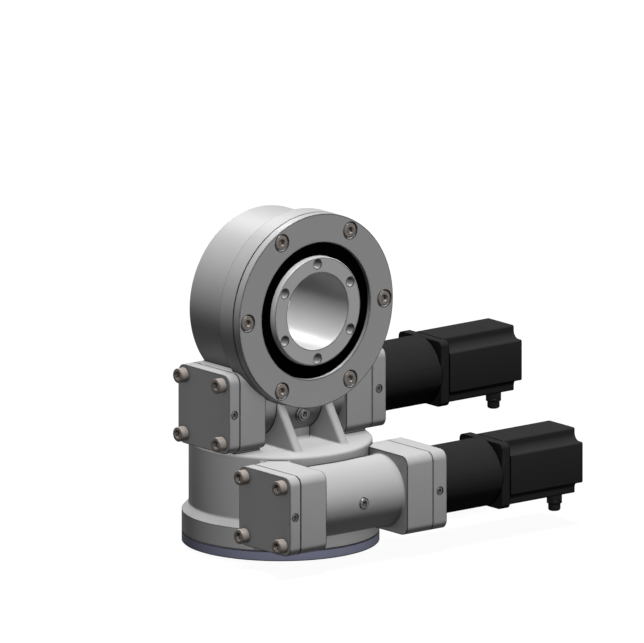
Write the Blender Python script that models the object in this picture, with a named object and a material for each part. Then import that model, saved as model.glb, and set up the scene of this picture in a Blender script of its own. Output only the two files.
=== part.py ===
"""Dual-axis slew drive for a solar tracker, modelled piece by piece.

Two worm drives share one iron casting. The azimuth drive lies at the bottom: its output ring
faces down, bolts to the post and stays still while everything above it turns about Z. The
elevation drive stands on top: its output ring faces -Y and turns the panel frame about Y.
Each drive has a throated worm wheel cut on its output ring, a single-start worm across it, a
ball row, a cover plate with a face seal, and a gear motor on the worm's +X end.

Units are metres and +Z is up. The origin is the centre of the azimuth ring's mounting face.
"""
import math
from dataclasses import dataclass

import bmesh
import bpy

# Clearances
SEAT_GAP = 0.0003           # between two pieces that touch
HOLE_GAP = 0.0004           # round a screw's shank
RUN_GAP = 0.0003            # round a ring or shaft that turns
CUT_OVERRUN = 0.002         # how far a cutter passes the face that it opens
WELD_DEPTH = 0.001          # how far two shapes of one casting reach into each other

# Worm gearing, which sets the size of both drives
TEETH = 62
GEAR_MODULE = 0.002
PRESSURE_ANGLE = math.radians(20.0)
PITCH = math.pi * GEAR_MODULE
WHEEL_PITCH_RADIUS = TEETH * GEAR_MODULE / 2.0
WORM_PITCH_RADIUS = 0.0214
CENTRE_DISTANCE = WHEEL_PITCH_RADIUS + WORM_PITCH_RADIUS
WHEEL_TIP_SHARE = 1.3       # wheel's rim outside its pitch circle, in modules
WHEEL_OUTER_RADIUS = WHEEL_PITCH_RADIUS + WHEEL_TIP_SHARE * GEAR_MODULE
WHEEL_HALF_WIDTH = 0.008
FLANK_CLEARANCE = 0.0002
ROOT_CLEARANCE = 0.0005
WORM_ROOT_CLEARANCE = 0.0008
THREAD_TURNS = 7
THREAD_STEPS = 16           # facets in one turn of the thread

# Ball row between the ring and its casting
BALL_RADIUS = 0.0046
BALL_INSET = 0.001          # inside the wheel's pitch circle
BALL_CIRCLE_RADIUS = WHEEL_PITCH_RADIUS - BALL_INSET
BALL_SETBACK = 0.017        # behind the cover plate's joint
BALLS = 14
CAGE_RADIUS = 0.0019
BALL_SIDES = 6

# Output ring
SHOULDER_INSET = 0.0048     # inside the wheel's pitch circle
SHOULDER_RADIUS = WHEEL_PITCH_RADIUS - SHOULDER_INSET
SHOULDER_SETBACK = 0.003    # behind the cover plate's joint
SHOULDER_STEP = 0.0092
RING_RADIUS = SHOULDER_RADIUS - SHOULDER_STEP
RING_WALL = 0.014
RING_BORE_RADIUS = RING_RADIUS - RING_WALL
RING_CHAMFER = 0.0008
RING_PROUD = 0.002          # ring's face in front of the cover plate
JOURNAL_STEP = 0.002
JOURNAL_RADIUS = RING_RADIUS - JOURNAL_STEP
TAPPED_HOLE_RADIUS = 0.00435
TAPPED_HOLE_DEPTH = 0.02
TAPPED_HOLE_INSET = 0.006   # holes' middles inside the ring's rim
TAPPED_CIRCLE_RADIUS = RING_RADIUS - TAPPED_HOLE_INSET
TAPPED_HOLES = 6

# Drums, flanges, cover plates and seals
WHEEL_TIP_GAP = 0.0006
BEARING_BORE_RADIUS = WHEEL_OUTER_RADIUS + WHEEL_TIP_GAP
COVER_LAP = 0.00425         # how far the cover plate hides the wheel's rim
COVER_BORE_RADIUS = WHEEL_OUTER_RADIUS - COVER_LAP
COVER_THICKNESS = 0.0088
COVER_SCREWS = 6
COVER_SCREW_MARGIN = 0.0108
COVER_SCREW_CIRCLE_RADIUS = BEARING_BORE_RADIUS + COVER_SCREW_MARGIN
FLANGE_MARGIN = 0.0095
FLANGE_RADIUS = COVER_SCREW_CIRCLE_RADIUS + FLANGE_MARGIN
FLANGE_THICKNESS = 0.0186
FLANGE_STEP = 0.006
DRUM_RADIUS = FLANGE_RADIUS - FLANGE_STEP
DRUM_FILLET = 0.0022
FILLET_MIDDLE_SHARE = 1.0 - math.sqrt(1.0 / 2.0)
EDGE_CHAMFER = 0.0006
REAR_WALL = 0.009           # wall behind the ring's journal
SEAL_SETBACK = 0.0027       # behind the cover plate's face
SEAL_THICKNESS = 0.005
SEAL_LIP = 0.0008

# Worm tubes and their square end blocks, measured along the worm from the ring's axis
WORM_TIP_GAP = 0.0016
WORM_BORE_RADIUS = WORM_PITCH_RADIUS + GEAR_MODULE + WORM_TIP_GAP
TUBE_WALL = 0.006
TUBE_RADIUS = WORM_BORE_RADIUS + TUBE_WALL
TUBE_HALF_LENGTH = 0.045
BLOCK_MARGIN = 0.004        # block's side outside the tube
BLOCK_HALF = TUBE_RADIUS + BLOCK_MARGIN
BLOCK_LENGTH = 0.0285
BLOCK_END = TUBE_HALF_LENGTH + BLOCK_LENGTH
BLOCK_CORNER = 0.008
CAP_THICKNESS = 0.0116
CAP_END = BLOCK_END + SEAT_GAP + CAP_THICKNESS
ADAPTER_THICKNESS = 0.0152
ADAPTER_END = BLOCK_END + SEAT_GAP + ADAPTER_THICKNESS
SPIGOT_RADIUS = WORM_BORE_RADIUS - HOLE_GAP
SPIGOT_LENGTH = 0.003
CORNER_STEPS = 3

# Where the two drives lie
AZIMUTH_MARGIN = 0.017      # cover plate's face outside the worm block, lower drive
AZIMUTH_SETBACK = BLOCK_HALF + AZIMUTH_MARGIN
ELEVATION_MARGIN = 0.0138   # the same on the upper drive
ELEVATION_SETBACK = BLOCK_HALF + ELEVATION_MARGIN
DRUM_BACK_INSET = 0.0068    # upper drum's back inside the worm block's
DRUM_BACK = BLOCK_HALF - DRUM_BACK_INSET
DECK_STEP = 0.0035          # deck above the lower worm blocks
DECK_HEIGHT = RING_PROUD + AZIMUTH_SETBACK + BLOCK_HALF + DECK_STEP
PAD_RISE = 0.0021
UPPER_WORM_HEIGHT = DECK_HEIGHT + PAD_RISE + BLOCK_HALF
RING_AXIS_HEIGHT = UPPER_WORM_HEIGHT + CENTRE_DISTANCE

# Worm shaft and its bearings
BEARING_SEAT_RADIUS = WORM_BORE_RADIUS / 2.0
BEARING_WIDTH = 0.014
BEARING_CHAMFER = 0.001
THREAD_RUNOUT = 0.002
SHAFT_SHOULDER_STEP = 0.004
SHAFT_SHOULDER_RADIUS = BEARING_SEAT_RADIUS + SHAFT_SHOULDER_STEP
DRIVE_SHAFT_STEP = 0.0045
DRIVE_SHAFT_RADIUS = BEARING_SEAT_RADIUS - DRIVE_SHAFT_STEP
DRIVE_SHAFT_REACH = 0.014
DRIVE_SHAFT_END = ADAPTER_END + DRIVE_SHAFT_REACH
ADAPTER_BORE_MARGIN = 0.0065
ADAPTER_BORE_RADIUS = DRIVE_SHAFT_RADIUS + ADAPTER_BORE_MARGIN

# Gear motor
GEARBOX_RADIUS = 0.030
GEARBOX_LENGTH = 0.0657
GEARBOX_END = ADAPTER_END + GEARBOX_LENGTH
GEARBOX_SPIGOT = 0.004
MOTOR_PLATE_THICKNESS = 0.0097
MOTOR_PLATE_END = GEARBOX_END + MOTOR_PLATE_THICKNESS
MOTOR_LENGTH = 0.0809
MOTOR_END = MOTOR_PLATE_END + MOTOR_LENGTH
MOTOR_HALF = 0.029
MOTOR_NOTCH = 0.011
MOTOR_NOTCH_LIP = 0.0045    # straight part of a notch's two sides
MOTOR_PLATE_CORNER = 0.0045
MOTOR_CHAMFER = 0.0012
CONNECTOR_INSET = 0.0083    # connector's middle before the motor's end
CONNECTOR_PLACE = MOTOR_END - CONNECTOR_INSET
CONNECTOR_RADIUS = 0.0053
CONNECTOR_WALL = 0.0012
CONNECTOR_COLLAR_RADIUS = 0.0067
CONNECTOR_COLLAR_HEIGHT = 0.0045
CONNECTOR_LENGTH = 0.0175
CONNECTOR_PIN_DEPTH = 0.006

# Fasteners and plugs
SCREW_INSET = 0.009         # screws' middles inside the worm block's sides
CAP_SCREW_SPACING = 2.0 * (BLOCK_HALF - SCREW_INSET)
COUNTERBORE_RADIUS = 0.0075
LOW_HEAD_HEIGHT = 0.005
SCREW_HEAD_RADIUS = 0.0065
SCREW_HEAD_HEIGHT = 0.008
SCREW_SHANK_RADIUS = 0.004
COVER_SCREW_LENGTH = 0.016
CAP_SCREW_LENGTH = 0.024
ADAPTER_SCREW_LENGTH = 0.022
ADAPTER_COUNTERBORE_RADIUS = 0.0067
SCREW_SIDES = 8
HOLE_SIDES = 8
PLUG_RADIUS = 0.003
PLUG_DEPTH = 0.005
PLUG_SIDES = 8
PORT_RADIUS = 0.0045
PORT_BOSS_RADIUS = 0.0065
PORT_BOSS_PROUD = 0.002
PORT_SPOT_PROUD = 0.0004    # the azimuth port lies nearly flush with its tube
ELEVATION_PORT_DROP = 0.011

# Pedestal on the deck
RIB_INSET = 0.0196          # rib's middle inside the worm block's face
RIB_PLACE = TUBE_HALF_LENGTH - RIB_INSET
RIB_THICKNESS = 0.0086
RIB_MARGIN = 0.021          # rib's foot inside the drum
RIB_FRONT_REACH = DRUM_RADIUS - RIB_MARGIN
RIB_LEAN_SHARE = 0.66       # how far the rib's front edge leans back for each metre of height
RIB_EDGE_FILLET = 0.0029
ROUND_SHARE = 0.5           # profile of a round bevel
WEB_HALF_DEPTH = 0.014
PAD_HALF_DEPTH = BLOCK_HALF - BLOCK_CORNER

# Facets
DRUM_SIDES = 36
TUBE_SIDES = 24
SMALL_SIDES = 16


@dataclass(frozen=True)
class Drive:
    """One worm drive: its name, its frame and the sizes that differ between the two.

    A drive's own frame has +Z out of its output face, +X along its worm towards the motor,
    and its origin on the ring's axis level with the worm. The worm lies at worm_side along Y.
    """
    name: str
    height: float
    turn: float
    worm_side: int
    setback: float
    rear: float
    open_back: bool
    port_drop: float
    port_proud: float

    @property
    def joint(self) -> float:
        """Height of the joint between the cover plate and the flange."""
        return self.setback - COVER_THICKNESS

    @property
    def face(self) -> float:
        """Height of the output ring's mounting face."""
        return self.setback + RING_PROUD


AZIMUTH = Drive("azimuth", RING_PROUD + AZIMUTH_SETBACK, math.pi, 1, AZIMUTH_SETBACK,
                RING_PROUD + AZIMUTH_SETBACK - DECK_HEIGHT + REAR_WALL + SEAT_GAP, False, 0.0,
                PORT_SPOT_PROUD)
ELEVATION = Drive("elevation", RING_AXIS_HEIGHT, math.pi / 2.0, -1, ELEVATION_SETBACK,
                  -DRUM_BACK, True, ELEVATION_PORT_DROP, PORT_BOSS_PROUD)


def clear_scene():
    """Removes whatever the scene holds."""
    for item in list(bpy.data.objects):
        bpy.data.objects.remove(item, do_unlink=True)


def finish_material(name, colour, roughness, metallic):
    """A Principled material with one colour."""
    material = bpy.data.materials.new(name)
    material.use_nodes = True
    shader = material.node_tree.nodes["Principled BSDF"]
    shader.inputs["Base Color"].default_value = (*colour, 1.0)
    shader.inputs["Roughness"].default_value = roughness
    shader.inputs["Metallic"].default_value = metallic
    return material


def cast_iron(name):
    """Grey painted casting."""
    return finish_material(name, (0.42, 0.42, 0.43), 0.55, 0.2)


def machined_steel(name):
    """Bright turned or milled steel."""
    return finish_material(name, (0.55, 0.55, 0.56), 0.35, 0.9)


def screw_steel(name):
    """Warm grey alloy steel of the cap screws."""
    return finish_material(name, (0.45, 0.41, 0.38), 0.4, 0.8)


def black_paint(name):
    """Black paint of the motors and gearboxes."""
    return finish_material(name, (0.02, 0.02, 0.022), 0.45, 0.0)


def seal_rubber(name):
    """Black rubber of the seals."""
    return finish_material(name, (0.008, 0.008, 0.008), 0.8, 0.0)


def cage_brass(name):
    """Brass of the ball rows' cages."""
    return finish_material(name, (0.62, 0.48, 0.24), 0.4, 0.9)


def cover_finish(drive):
    """Cover plate's finish: blue-grey on the lower drive, the casting's grey on the upper."""
    name = drive.name + "_cover"
    if drive.open_back:
        return cast_iron(name)
    return finish_material(name, (0.3, 0.3, 0.36), 0.45, 0.2)


def frame_empty(name, parent, location, rotation):
    """An empty that carries the pieces of one drive or one worm."""
    empty = bpy.data.objects.new(name, None)
    bpy.context.collection.objects.link(empty)
    empty.parent = parent
    empty.location = location
    empty.rotation_euler = rotation
    return empty


def place(name, mesh, parent, location=(0.0, 0.0, 0.0), rotation=(0.0, 0.0, 0.0)):
    """Links an object that holds a mesh, under its parent."""
    item = bpy.data.objects.new(name, mesh)
    bpy.context.collection.objects.link(item)
    item.parent = parent
    item.location = location
    item.rotation_euler = rotation
    return item


def mesh_from(name, bm):
    """Turns a bmesh into a mesh whose faces point out."""
    bmesh.ops.recalc_face_normals(bm, faces=bm.faces)
    mesh = bpy.data.meshes.new(name)
    bm.to_mesh(mesh)
    bm.free()
    return mesh


def smooth(item, material):
    """Gives a finished piece its material and rounds its shading."""
    item.data.materials.append(material)
    item.data.shade_smooth()
    item.data.set_sharp_from_angle(angle=math.radians(35.0))
    return item


def guide(item):
    """Marks an object as a cutter or a shape that another one takes in."""
    item.hide_render = True
    item.display_type = "WIRE"
    return item


def combine(target, other, operation):
    """Adds or cuts another object's shape with a Boolean."""
    guide(other)
    modifier = target.modifiers.new(other.name, "BOOLEAN")
    modifier.object = other
    modifier.operation = operation
    modifier.solver = "EXACT"


def join(target, other):
    """Casts another shape into the target."""
    combine(target, other, "UNION")


def cut(target, other):
    """Cuts another shape out of the target."""
    combine(target, other, "DIFFERENCE")


def circle_points(radius, sides, height, phase=0.0):
    """Points of a level circle."""
    step = 2.0 * math.pi / sides
    return [(radius * math.cos(phase + step * i), radius * math.sin(phase + step * i), height)
            for i in range(sides)]


def bridge(bm, lower, upper):
    """Joins two loops of as many points with quads."""
    count = len(lower)
    for i in range(count):
        j = (i + 1) % count
        bm.faces.new((lower[i], lower[j], upper[j], upper[i]))


def add_turned(bm, profile, sides, closed, centre=(0.0, 0.0)):
    """Turns a profile of (radius, height) points about an upright axis.

    A closed profile makes a ring. An open one makes a solid, and flat ends close it.
    """
    rings = []
    for radius, height in profile:
        ring = [bm.verts.new((x + centre[0], y + centre[1], z))
                for x, y, z in circle_points(radius, sides, height)]
        rings.append(ring)
    for lower, upper in zip(rings, rings[1:]):
        bridge(bm, lower, upper)
    if closed:
        bridge(bm, rings[-1], rings[0])
    else:
        bm.faces.new(list(reversed(rings[0])))
        bm.faces.new(rings[-1])


def turned(name, profile, sides, closed=False):
    """A mesh turned from one profile."""
    bm = bmesh.new()
    add_turned(bm, profile, sides, closed)
    return mesh_from(name, bm)


def pins(name, places, profile, sides):
    """One mesh with the same turned shape at many places."""
    bm = bmesh.new()
    for centre in places:
        add_turned(bm, profile, sides, False, centre)
    return mesh_from(name, bm)


def prism(name, outline, low, high):
    """A mesh drawn out from a level outline of (x, y) points."""
    bm = bmesh.new()
    bottom = [bm.verts.new((x, y, low)) for x, y in outline]
    top = [bm.verts.new((x, y, high)) for x, y in outline]
    bridge(bm, bottom, top)
    bm.faces.new(list(reversed(bottom)))
    bm.faces.new(top)
    return mesh_from(name, bm)


def arc(centre, radius, start, end, steps):
    """Points of an arc, both ends included."""
    return [(centre[0] + radius * math.cos(start + (end - start) * i / steps),
             centre[1] + radius * math.sin(start + (end - start) * i / steps))
            for i in range(steps + 1)]


def rounded_square(half, corner):
    """Outline of a square with round corners."""
    inner = half - corner
    outline = []
    for quarter, (sx, sy) in enumerate(((1, 1), (-1, 1), (-1, -1), (1, -1))):
        start = quarter * math.pi / 2.0
        outline += arc((sx * inner, sy * inner), corner, start, start + math.pi / 2.0,
                       CORNER_STEPS)
    return outline


def notched_square(half, notch, lip):
    """Outline of a motor body: a square whose corners have a notch with a round bottom."""
    outline = []
    middle = half - lip
    for quarter, (sx, sy) in enumerate(((1, 1), (-1, 1), (-1, -1), (1, -1))):
        start = quarter * math.pi / 2.0 - math.pi / 2.0
        sides = [(sx * half, sy * (half - notch)), (sx * (half - notch), sy * half)]
        if quarter % 2:
            sides.reverse()
        bottom = arc((sx * middle, sy * middle), notch - lip, start, start - math.pi / 2.0,
                     CORNER_STEPS)
        outline += [sides[0]] + bottom + [sides[1]]
    return outline


def square_places(spacing):
    """Centres of four holes on a square."""
    half = spacing / 2.0
    return [(half, half), (-half, half), (-half, -half), (half, -half)]


def circle_places(radius, count, phase=0.0):
    """Centres of holes spaced evenly on a circle."""
    return [(x, y) for x, y, _ in circle_points(radius, count, 0.0, phase)]


def half_thread(radius):
    """Half the thread's thickness at a radius of the worm, with no clearance."""
    return PITCH / 4.0 - (radius - WORM_PITCH_RADIUS) * math.tan(PRESSURE_ANGLE)


def rack_point(radius, level, flank, worm_side):
    """A point of the worm's thread in a plane parallel to the wheel.

    In such a plane the worm looks like a rack. The point is (along the worm, distance from
    the wheel's axis).
    """
    lean = -worm_side * PITCH / (2.0 * math.pi) * math.asin(level / radius)
    depth = math.sqrt(radius * radius - level * level)
    return flank * half_thread(radius) + lean, CENTRE_DISTANCE - depth


def wheel_flank(radius, level, flank, worm_side):
    """The wheel's flank point that touches the worm at a radius, as (radius, angle).

    The rack rolls on the wheel's pitch circle, and touches the wheel where the rack's normal
    passes through the pitch point.
    """
    step = GEAR_MODULE / TEETH
    x, v = rack_point(radius, level, flank, worm_side)
    next_x, next_v = rack_point(radius + step, level, flank, worm_side)
    normal_x, normal_v = next_v - v, x - next_x
    reach = (WHEEL_PITCH_RADIUS - v) / normal_v
    shift = -x - reach * normal_x
    angle = math.atan2(x + shift, v) - shift / WHEEL_PITCH_RADIUS
    return math.hypot(x + shift, v), angle


def tooth_section(level, worm_side):
    """One tooth's outline at a level, as (radius, angle) from the tooth's middle.

    The order is root, tip, tip, root. A tooth lies between two turns of the thread, so each
    flank comes from the turn beside it.
    """
    half_pitch_angle = math.pi / TEETH
    tip_contact = WORM_PITCH_RADIUS - GEAR_MODULE
    root_contact = WORM_PITCH_RADIUS + GEAR_MODULE
    floor = CENTRE_DISTANCE - math.sqrt((root_contact + ROOT_CLEARANCE) ** 2 - level * level)
    section = []
    for flank in (1, -1):
        _, root_angle = wheel_flank(root_contact, level, flank, worm_side)
        tip_radius, tip_angle = wheel_flank(tip_contact, level, flank, worm_side)
        tip_radius = min(tip_radius, WHEEL_OUTER_RADIUS)
        shift = -flank * half_pitch_angle
        pair = [(floor, root_angle + shift), (tip_radius, tip_angle + shift)]
        section += pair if flank == 1 else list(reversed(pair))
    return section


def output_ring(drive, parent, material):
    """The output ring: hub, ball race, throated worm wheel and rear journal in one piece."""
    bm = bmesh.new()
    levels = (-WHEEL_HALF_WIDTH, 0.0, WHEEL_HALF_WIDTH)
    loops = [tooth_loop(bm, drive, level) for level in levels]
    for lower, upper in zip(loops, loops[1:]):
        bridge(bm, lower, upper)
    front = ring_from_teeth(bm, drive, loops[-1], WHEEL_HALF_WIDTH)
    back = ring_from_teeth(bm, drive, loops[0], -WHEEL_HALF_WIDTH)
    for radius, height in ring_profile(drive):
        following = wheel_circle(bm, drive, radius, height)
        bridge(bm, front, following)
        front = following
    bridge(bm, front, back)
    ring = place(drive.name + "_ring", mesh_from(drive.name + "_ring", bm), parent)
    depth = drive.face - TAPPED_HOLE_DEPTH
    holes = pins("holes", circle_places(TAPPED_CIRCLE_RADIUS, TAPPED_HOLES, math.pi / TAPPED_HOLES),
                 [(TAPPED_HOLE_RADIUS, depth), (TAPPED_HOLE_RADIUS, drive.face + CUT_OVERRUN)],
                 HOLE_SIDES)
    cut(ring, place(drive.name + "_ring_holes", holes, parent))
    return smooth(ring, material)


def wheel_angle(index):
    """Angle of a tooth's middle, measured from the worm's side towards +X.

    The thread's middle faces the wheel at angle zero, so the teeth lie half a pitch off it.
    """
    return (2 * index + 1) * math.pi / TEETH


def wheel_point(drive, radius, angle, height):
    """A point of the wheel in the drive's own frame."""
    return radius * math.sin(angle), drive.worm_side * radius * math.cos(angle), height


def tooth_loop(bm, drive, level):
    """The toothed outline of the wheel at one level."""
    loop = []
    section = tooth_section(level, drive.worm_side)
    for index in range(TEETH):
        middle = wheel_angle(index)
        loop += [bm.verts.new(wheel_point(drive, radius, middle + angle, level))
                 for radius, angle in section]
    return loop


def wheel_circle(bm, drive, radius, height):
    """A circle of the hub, which starts where the first tooth does."""
    step = 2.0 * math.pi / DRUM_SIDES
    start = wheel_angle(0) - math.pi / TEETH
    return [bm.verts.new(wheel_point(drive, radius, start + step * index, height))
            for index in range(DRUM_SIDES)]


def stitch(bm, outer, inner):
    """Fills the flat band between two loops that have different numbers of points."""
    outer_done = 0
    inner_done = 0
    while outer_done < len(outer) or inner_done < len(inner):
        outer_point = outer[outer_done % len(outer)]
        inner_point = inner[inner_done % len(inner)]
        if outer_done * len(inner) <= inner_done * len(outer):
            outer_done += 1
            bm.faces.new((outer_point, outer[outer_done % len(outer)], inner_point))
        else:
            inner_done += 1
            bm.faces.new((outer_point, inner[inner_done % len(inner)], inner_point))


def ring_from_teeth(bm, drive, loop, height):
    """Closes one side of the teeth down to the shoulder and gives the shoulder's circle."""
    circle = wheel_circle(bm, drive, SHOULDER_RADIUS, height)
    stitch(bm, loop, circle)
    return circle


def ring_profile(drive):
    """The ring's outline from the wheel's front, over the face and through the bore, to its back."""
    ball = drive.joint - BALL_SETBACK
    race_half = BALL_RADIUS
    groove = BALL_CIRCLE_RADIUS - BALL_RADIUS - RUN_GAP
    shoulder_end = drive.joint - SHOULDER_SETBACK
    return [
        (SHOULDER_RADIUS, ball - race_half),
        (groove, ball),
        (SHOULDER_RADIUS, ball + race_half),
        (SHOULDER_RADIUS, shoulder_end),
        (RING_RADIUS, shoulder_end),
        (RING_RADIUS, drive.face - RING_CHAMFER),
        (RING_RADIUS - RING_CHAMFER, drive.face),
        (RING_BORE_RADIUS, drive.face),
        (RING_BORE_RADIUS, drive.rear),
        (JOURNAL_RADIUS, drive.rear),
        (JOURNAL_RADIUS, -WHEEL_HALF_WIDTH),
    ]


def cover_plate(drive, parent, material):
    """The round plate that closes the flange, with counterbores for its screws."""
    low = drive.joint + SEAT_GAP
    high = drive.setback
    outline = [
        (COVER_BORE_RADIUS, low),
        (FLANGE_RADIUS, low),
        (FLANGE_RADIUS, high - EDGE_CHAMFER),
        (FLANGE_RADIUS - EDGE_CHAMFER, high),
        (COVER_BORE_RADIUS, high),
    ]
    name = drive.name + "_cover"
    cover = place(name, turned(name, outline, DRUM_SIDES, closed=True), parent)
    seat = high - LOW_HEAD_HEIGHT - SEAT_GAP
    stepped = [
        (SCREW_SHANK_RADIUS + HOLE_GAP, low - CUT_OVERRUN),
        (SCREW_SHANK_RADIUS + HOLE_GAP, seat),
        (COUNTERBORE_RADIUS, seat),
        (COUNTERBORE_RADIUS, high + CUT_OVERRUN),
    ]
    holes = pins("holes", circle_places(COVER_SCREW_CIRCLE_RADIUS, COVER_SCREWS), stepped,
                 HOLE_SIDES)
    cut(cover, place(name + "_holes", holes, parent))
    return smooth(cover, material)


def face_seal(drive, parent, material):
    """The wide black seal between the cover plate and the ring."""
    front = drive.setback - SEAL_SETBACK
    back = front - SEAL_THICKNESS
    inner = RING_RADIUS + RUN_GAP
    outer = COVER_BORE_RADIUS - SEAT_GAP
    outline = [
        (inner, back),
        (outer, back),
        (outer, front),
        (inner + SEAL_LIP, front),
        (inner, front - SEAL_LIP),
    ]
    name = drive.name + "_seal"
    return smooth(place(name, turned(name, outline, DRUM_SIDES, closed=True), parent), material)


def ball_row(drive, parent, material):
    """The balls of the ring's bearing, held by the webs of their cage."""
    name = drive.name + "_balls"
    height = drive.joint - BALL_SETBACK
    spacing = 2.0 * math.pi / BALLS
    half_chord = math.sqrt(BALL_RADIUS ** 2 - CAGE_RADIUS ** 2) / BALL_CIRCLE_RADIUS
    stations = []
    for index in range(BALLS):
        middle = index * spacing
        stations += [(middle - half_chord, CAGE_RADIUS), (middle - half_chord / 2.0, None),
                     (middle, BALL_RADIUS), (middle + half_chord / 2.0, None),
                     (middle + half_chord, CAGE_RADIUS)]
    bm = bmesh.new()
    rings = []
    between = math.sqrt(BALL_RADIUS ** 2 - (BALL_RADIUS ** 2 - CAGE_RADIUS ** 2) / 4.0)
    for angle, radius in stations:
        rings.append(ball_station(bm, angle, between if radius is None else radius, height))
    for ring, following in zip(rings, rings[1:] + rings[:1]):
        bridge(bm, ring, following)
    return smooth(place(name, mesh_from(name, bm), parent), material)


def ball_station(bm, angle, radius, height):
    """One cross-section of the ball row."""
    ring = []
    for x, y, _ in circle_points(radius, BALL_SIDES, 0.0):
        reach = BALL_CIRCLE_RADIUS + x
        ring.append(bm.verts.new((reach * math.cos(angle), reach * math.sin(angle), height + y)))
    return ring


def worm_shaft(drive, parent, material):
    """The worm: a right-hand thread on a shaft with two bearing seats and a drive end."""
    name = drive.name + "_worm"
    bm = bmesh.new()
    steps = THREAD_STEPS
    rows = [thread_row(bm, drive, index) for index in range(THREAD_TURNS * steps + 1)]
    last = len(rows) - 1
    for index in range(last):
        row, following = rows[index], rows[index + 1]
        for point in range(len(row) - 1):
            bm.faces.new((row[point], row[point + 1], following[point + 1], following[point]))
    for index in range(last - steps):
        bm.faces.new((rows[index][-1], rows[index + steps][0],
                      rows[index + steps + 1][0], rows[index + 1][-1]))
    start_line = [rows[index][0] for index in range(steps + 1)]
    end_line = [rows[last - steps + index][-1] for index in range(steps + 1)]
    start_ring = shaft_ring(bm, rows[0][0].co.z - THREAD_RUNOUT, SHAFT_SHOULDER_RADIUS, drive)
    end_ring = shaft_ring(bm, rows[last][-1].co.z + THREAD_RUNOUT, SHAFT_SHOULDER_RADIUS, drive)
    run_out(bm, start_ring, start_line, rows[0])
    run_out(bm, end_ring, end_line, list(reversed(rows[last])))
    seat = BLOCK_END - SPIGOT_LENGTH - SEAT_GAP
    inner = seat - BEARING_WIDTH - SEAT_GAP
    free_end = [(SHAFT_SHOULDER_RADIUS, -inner), (BEARING_SEAT_RADIUS, -inner),
                (BEARING_SEAT_RADIUS, -seat)]
    drive_end = [(SHAFT_SHOULDER_RADIUS, inner), (BEARING_SEAT_RADIUS, inner),
                 (BEARING_SEAT_RADIUS, seat), (DRIVE_SHAFT_RADIUS, seat),
                 (DRIVE_SHAFT_RADIUS, DRIVE_SHAFT_END)]
    for ring, steps_out in ((start_ring, free_end), (end_ring, drive_end)):
        for radius, height in steps_out:
            following = shaft_ring(bm, height, radius, drive)
            bridge(bm, ring, following)
            ring = following
        bm.faces.new(ring)
    return smooth(place(name, mesh_from(name, bm), parent), material)


def thread_phase(drive):
    """Angle on the worm, about its own axis, that faces the wheel at rest.

    The worm's frame has its Y along the drive's Y, so the wheel lies at plus or minus Y.
    """
    return -drive.worm_side * math.pi / 2.0


def thread_row(bm, drive, index):
    """Four points of the thread at one step: root, tip, tip, root."""
    turns = index / THREAD_STEPS - THREAD_TURNS / 2.0
    angle = thread_phase(drive) + 2.0 * math.pi * turns
    middle = PITCH * turns
    tip = WORM_PITCH_RADIUS + GEAR_MODULE
    root = WORM_PITCH_RADIUS - GEAR_MODULE - WORM_ROOT_CLEARANCE
    row = []
    for radius, flank in ((root, -1), (tip, -1), (tip, 1), (root, 1)):
        along = middle + flank * (half_thread(radius) - FLANK_CLEARANCE)
        row.append(bm.verts.new((radius * math.cos(angle), radius * math.sin(angle), along)))
    return row


def shaft_ring(bm, height, radius, drive):
    """A circle of the worm's shaft, in step with the thread's rows."""
    phase = thread_phase(drive) - math.pi * THREAD_TURNS
    return [bm.verts.new(point) for point in circle_points(radius, THREAD_STEPS, height, phase)]


def run_out(bm, ring, line, profile):
    """Closes one end of the thread onto the shaft."""
    count = len(ring)
    for index in range(count):
        following = (index + 1) % count
        bm.faces.new((ring[index], ring[following], line[index + 1], line[index]))
    edge = [line[0], line[-1]]
    first = edge[0] if profile[0] is edge[0] else edge[1]
    second = edge[1] if first is edge[0] else edge[0]
    bm.faces.new([ring[0], first] + profile[1:] + [second])


def worm_bearing(drive, side, parent, material):
    """A worm bearing's rings as one solid, against the spigot that holds it."""
    end = "end" if side < 0 else "motor"
    name = drive.name + "_bearing_" + end
    outer_face = BLOCK_END - SPIGOT_LENGTH - SEAT_GAP
    inner_face = outer_face - BEARING_WIDTH
    inner = BEARING_SEAT_RADIUS + SEAT_GAP
    outer = WORM_BORE_RADIUS - SEAT_GAP
    outline = [
        (inner, side * inner_face),
        (outer - BEARING_CHAMFER, side * inner_face),
        (outer, side * (inner_face + BEARING_CHAMFER)),
        (outer, side * outer_face),
        (inner, side * outer_face),
    ]
    return smooth(place(name, turned(name, outline, SMALL_SIDES, closed=True), parent), material)


def end_cap(drive, parent, material):
    """The blind plate on the worm's free end, with a spigot in the bore."""
    name = drive.name + "_end_cap"
    face = BLOCK_END + SEAT_GAP
    plate = prism(name, rounded_square(BLOCK_HALF, BLOCK_CORNER), -CAP_END, -face)
    cap = place(name, plate, parent)
    spigot = turned("spigot", [(SPIGOT_RADIUS, -face - WELD_DEPTH),
                               (SPIGOT_RADIUS, SPIGOT_LENGTH - BLOCK_END)], SMALL_SIDES)
    join(cap, place(name + "_spigot", spigot, parent))
    hole = SCREW_SHANK_RADIUS + HOLE_GAP
    holes = pins("holes", square_places(CAP_SCREW_SPACING),
                 [(hole, -CAP_END - CUT_OVERRUN), (hole, -face + CUT_OVERRUN)], HOLE_SIDES)
    cut(cap, place(name + "_holes", holes, parent))
    cut(cap, plug_pocket(drive, name, -(face + CAP_END) / 2.0, parent))
    return smooth(cap, material)


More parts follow.
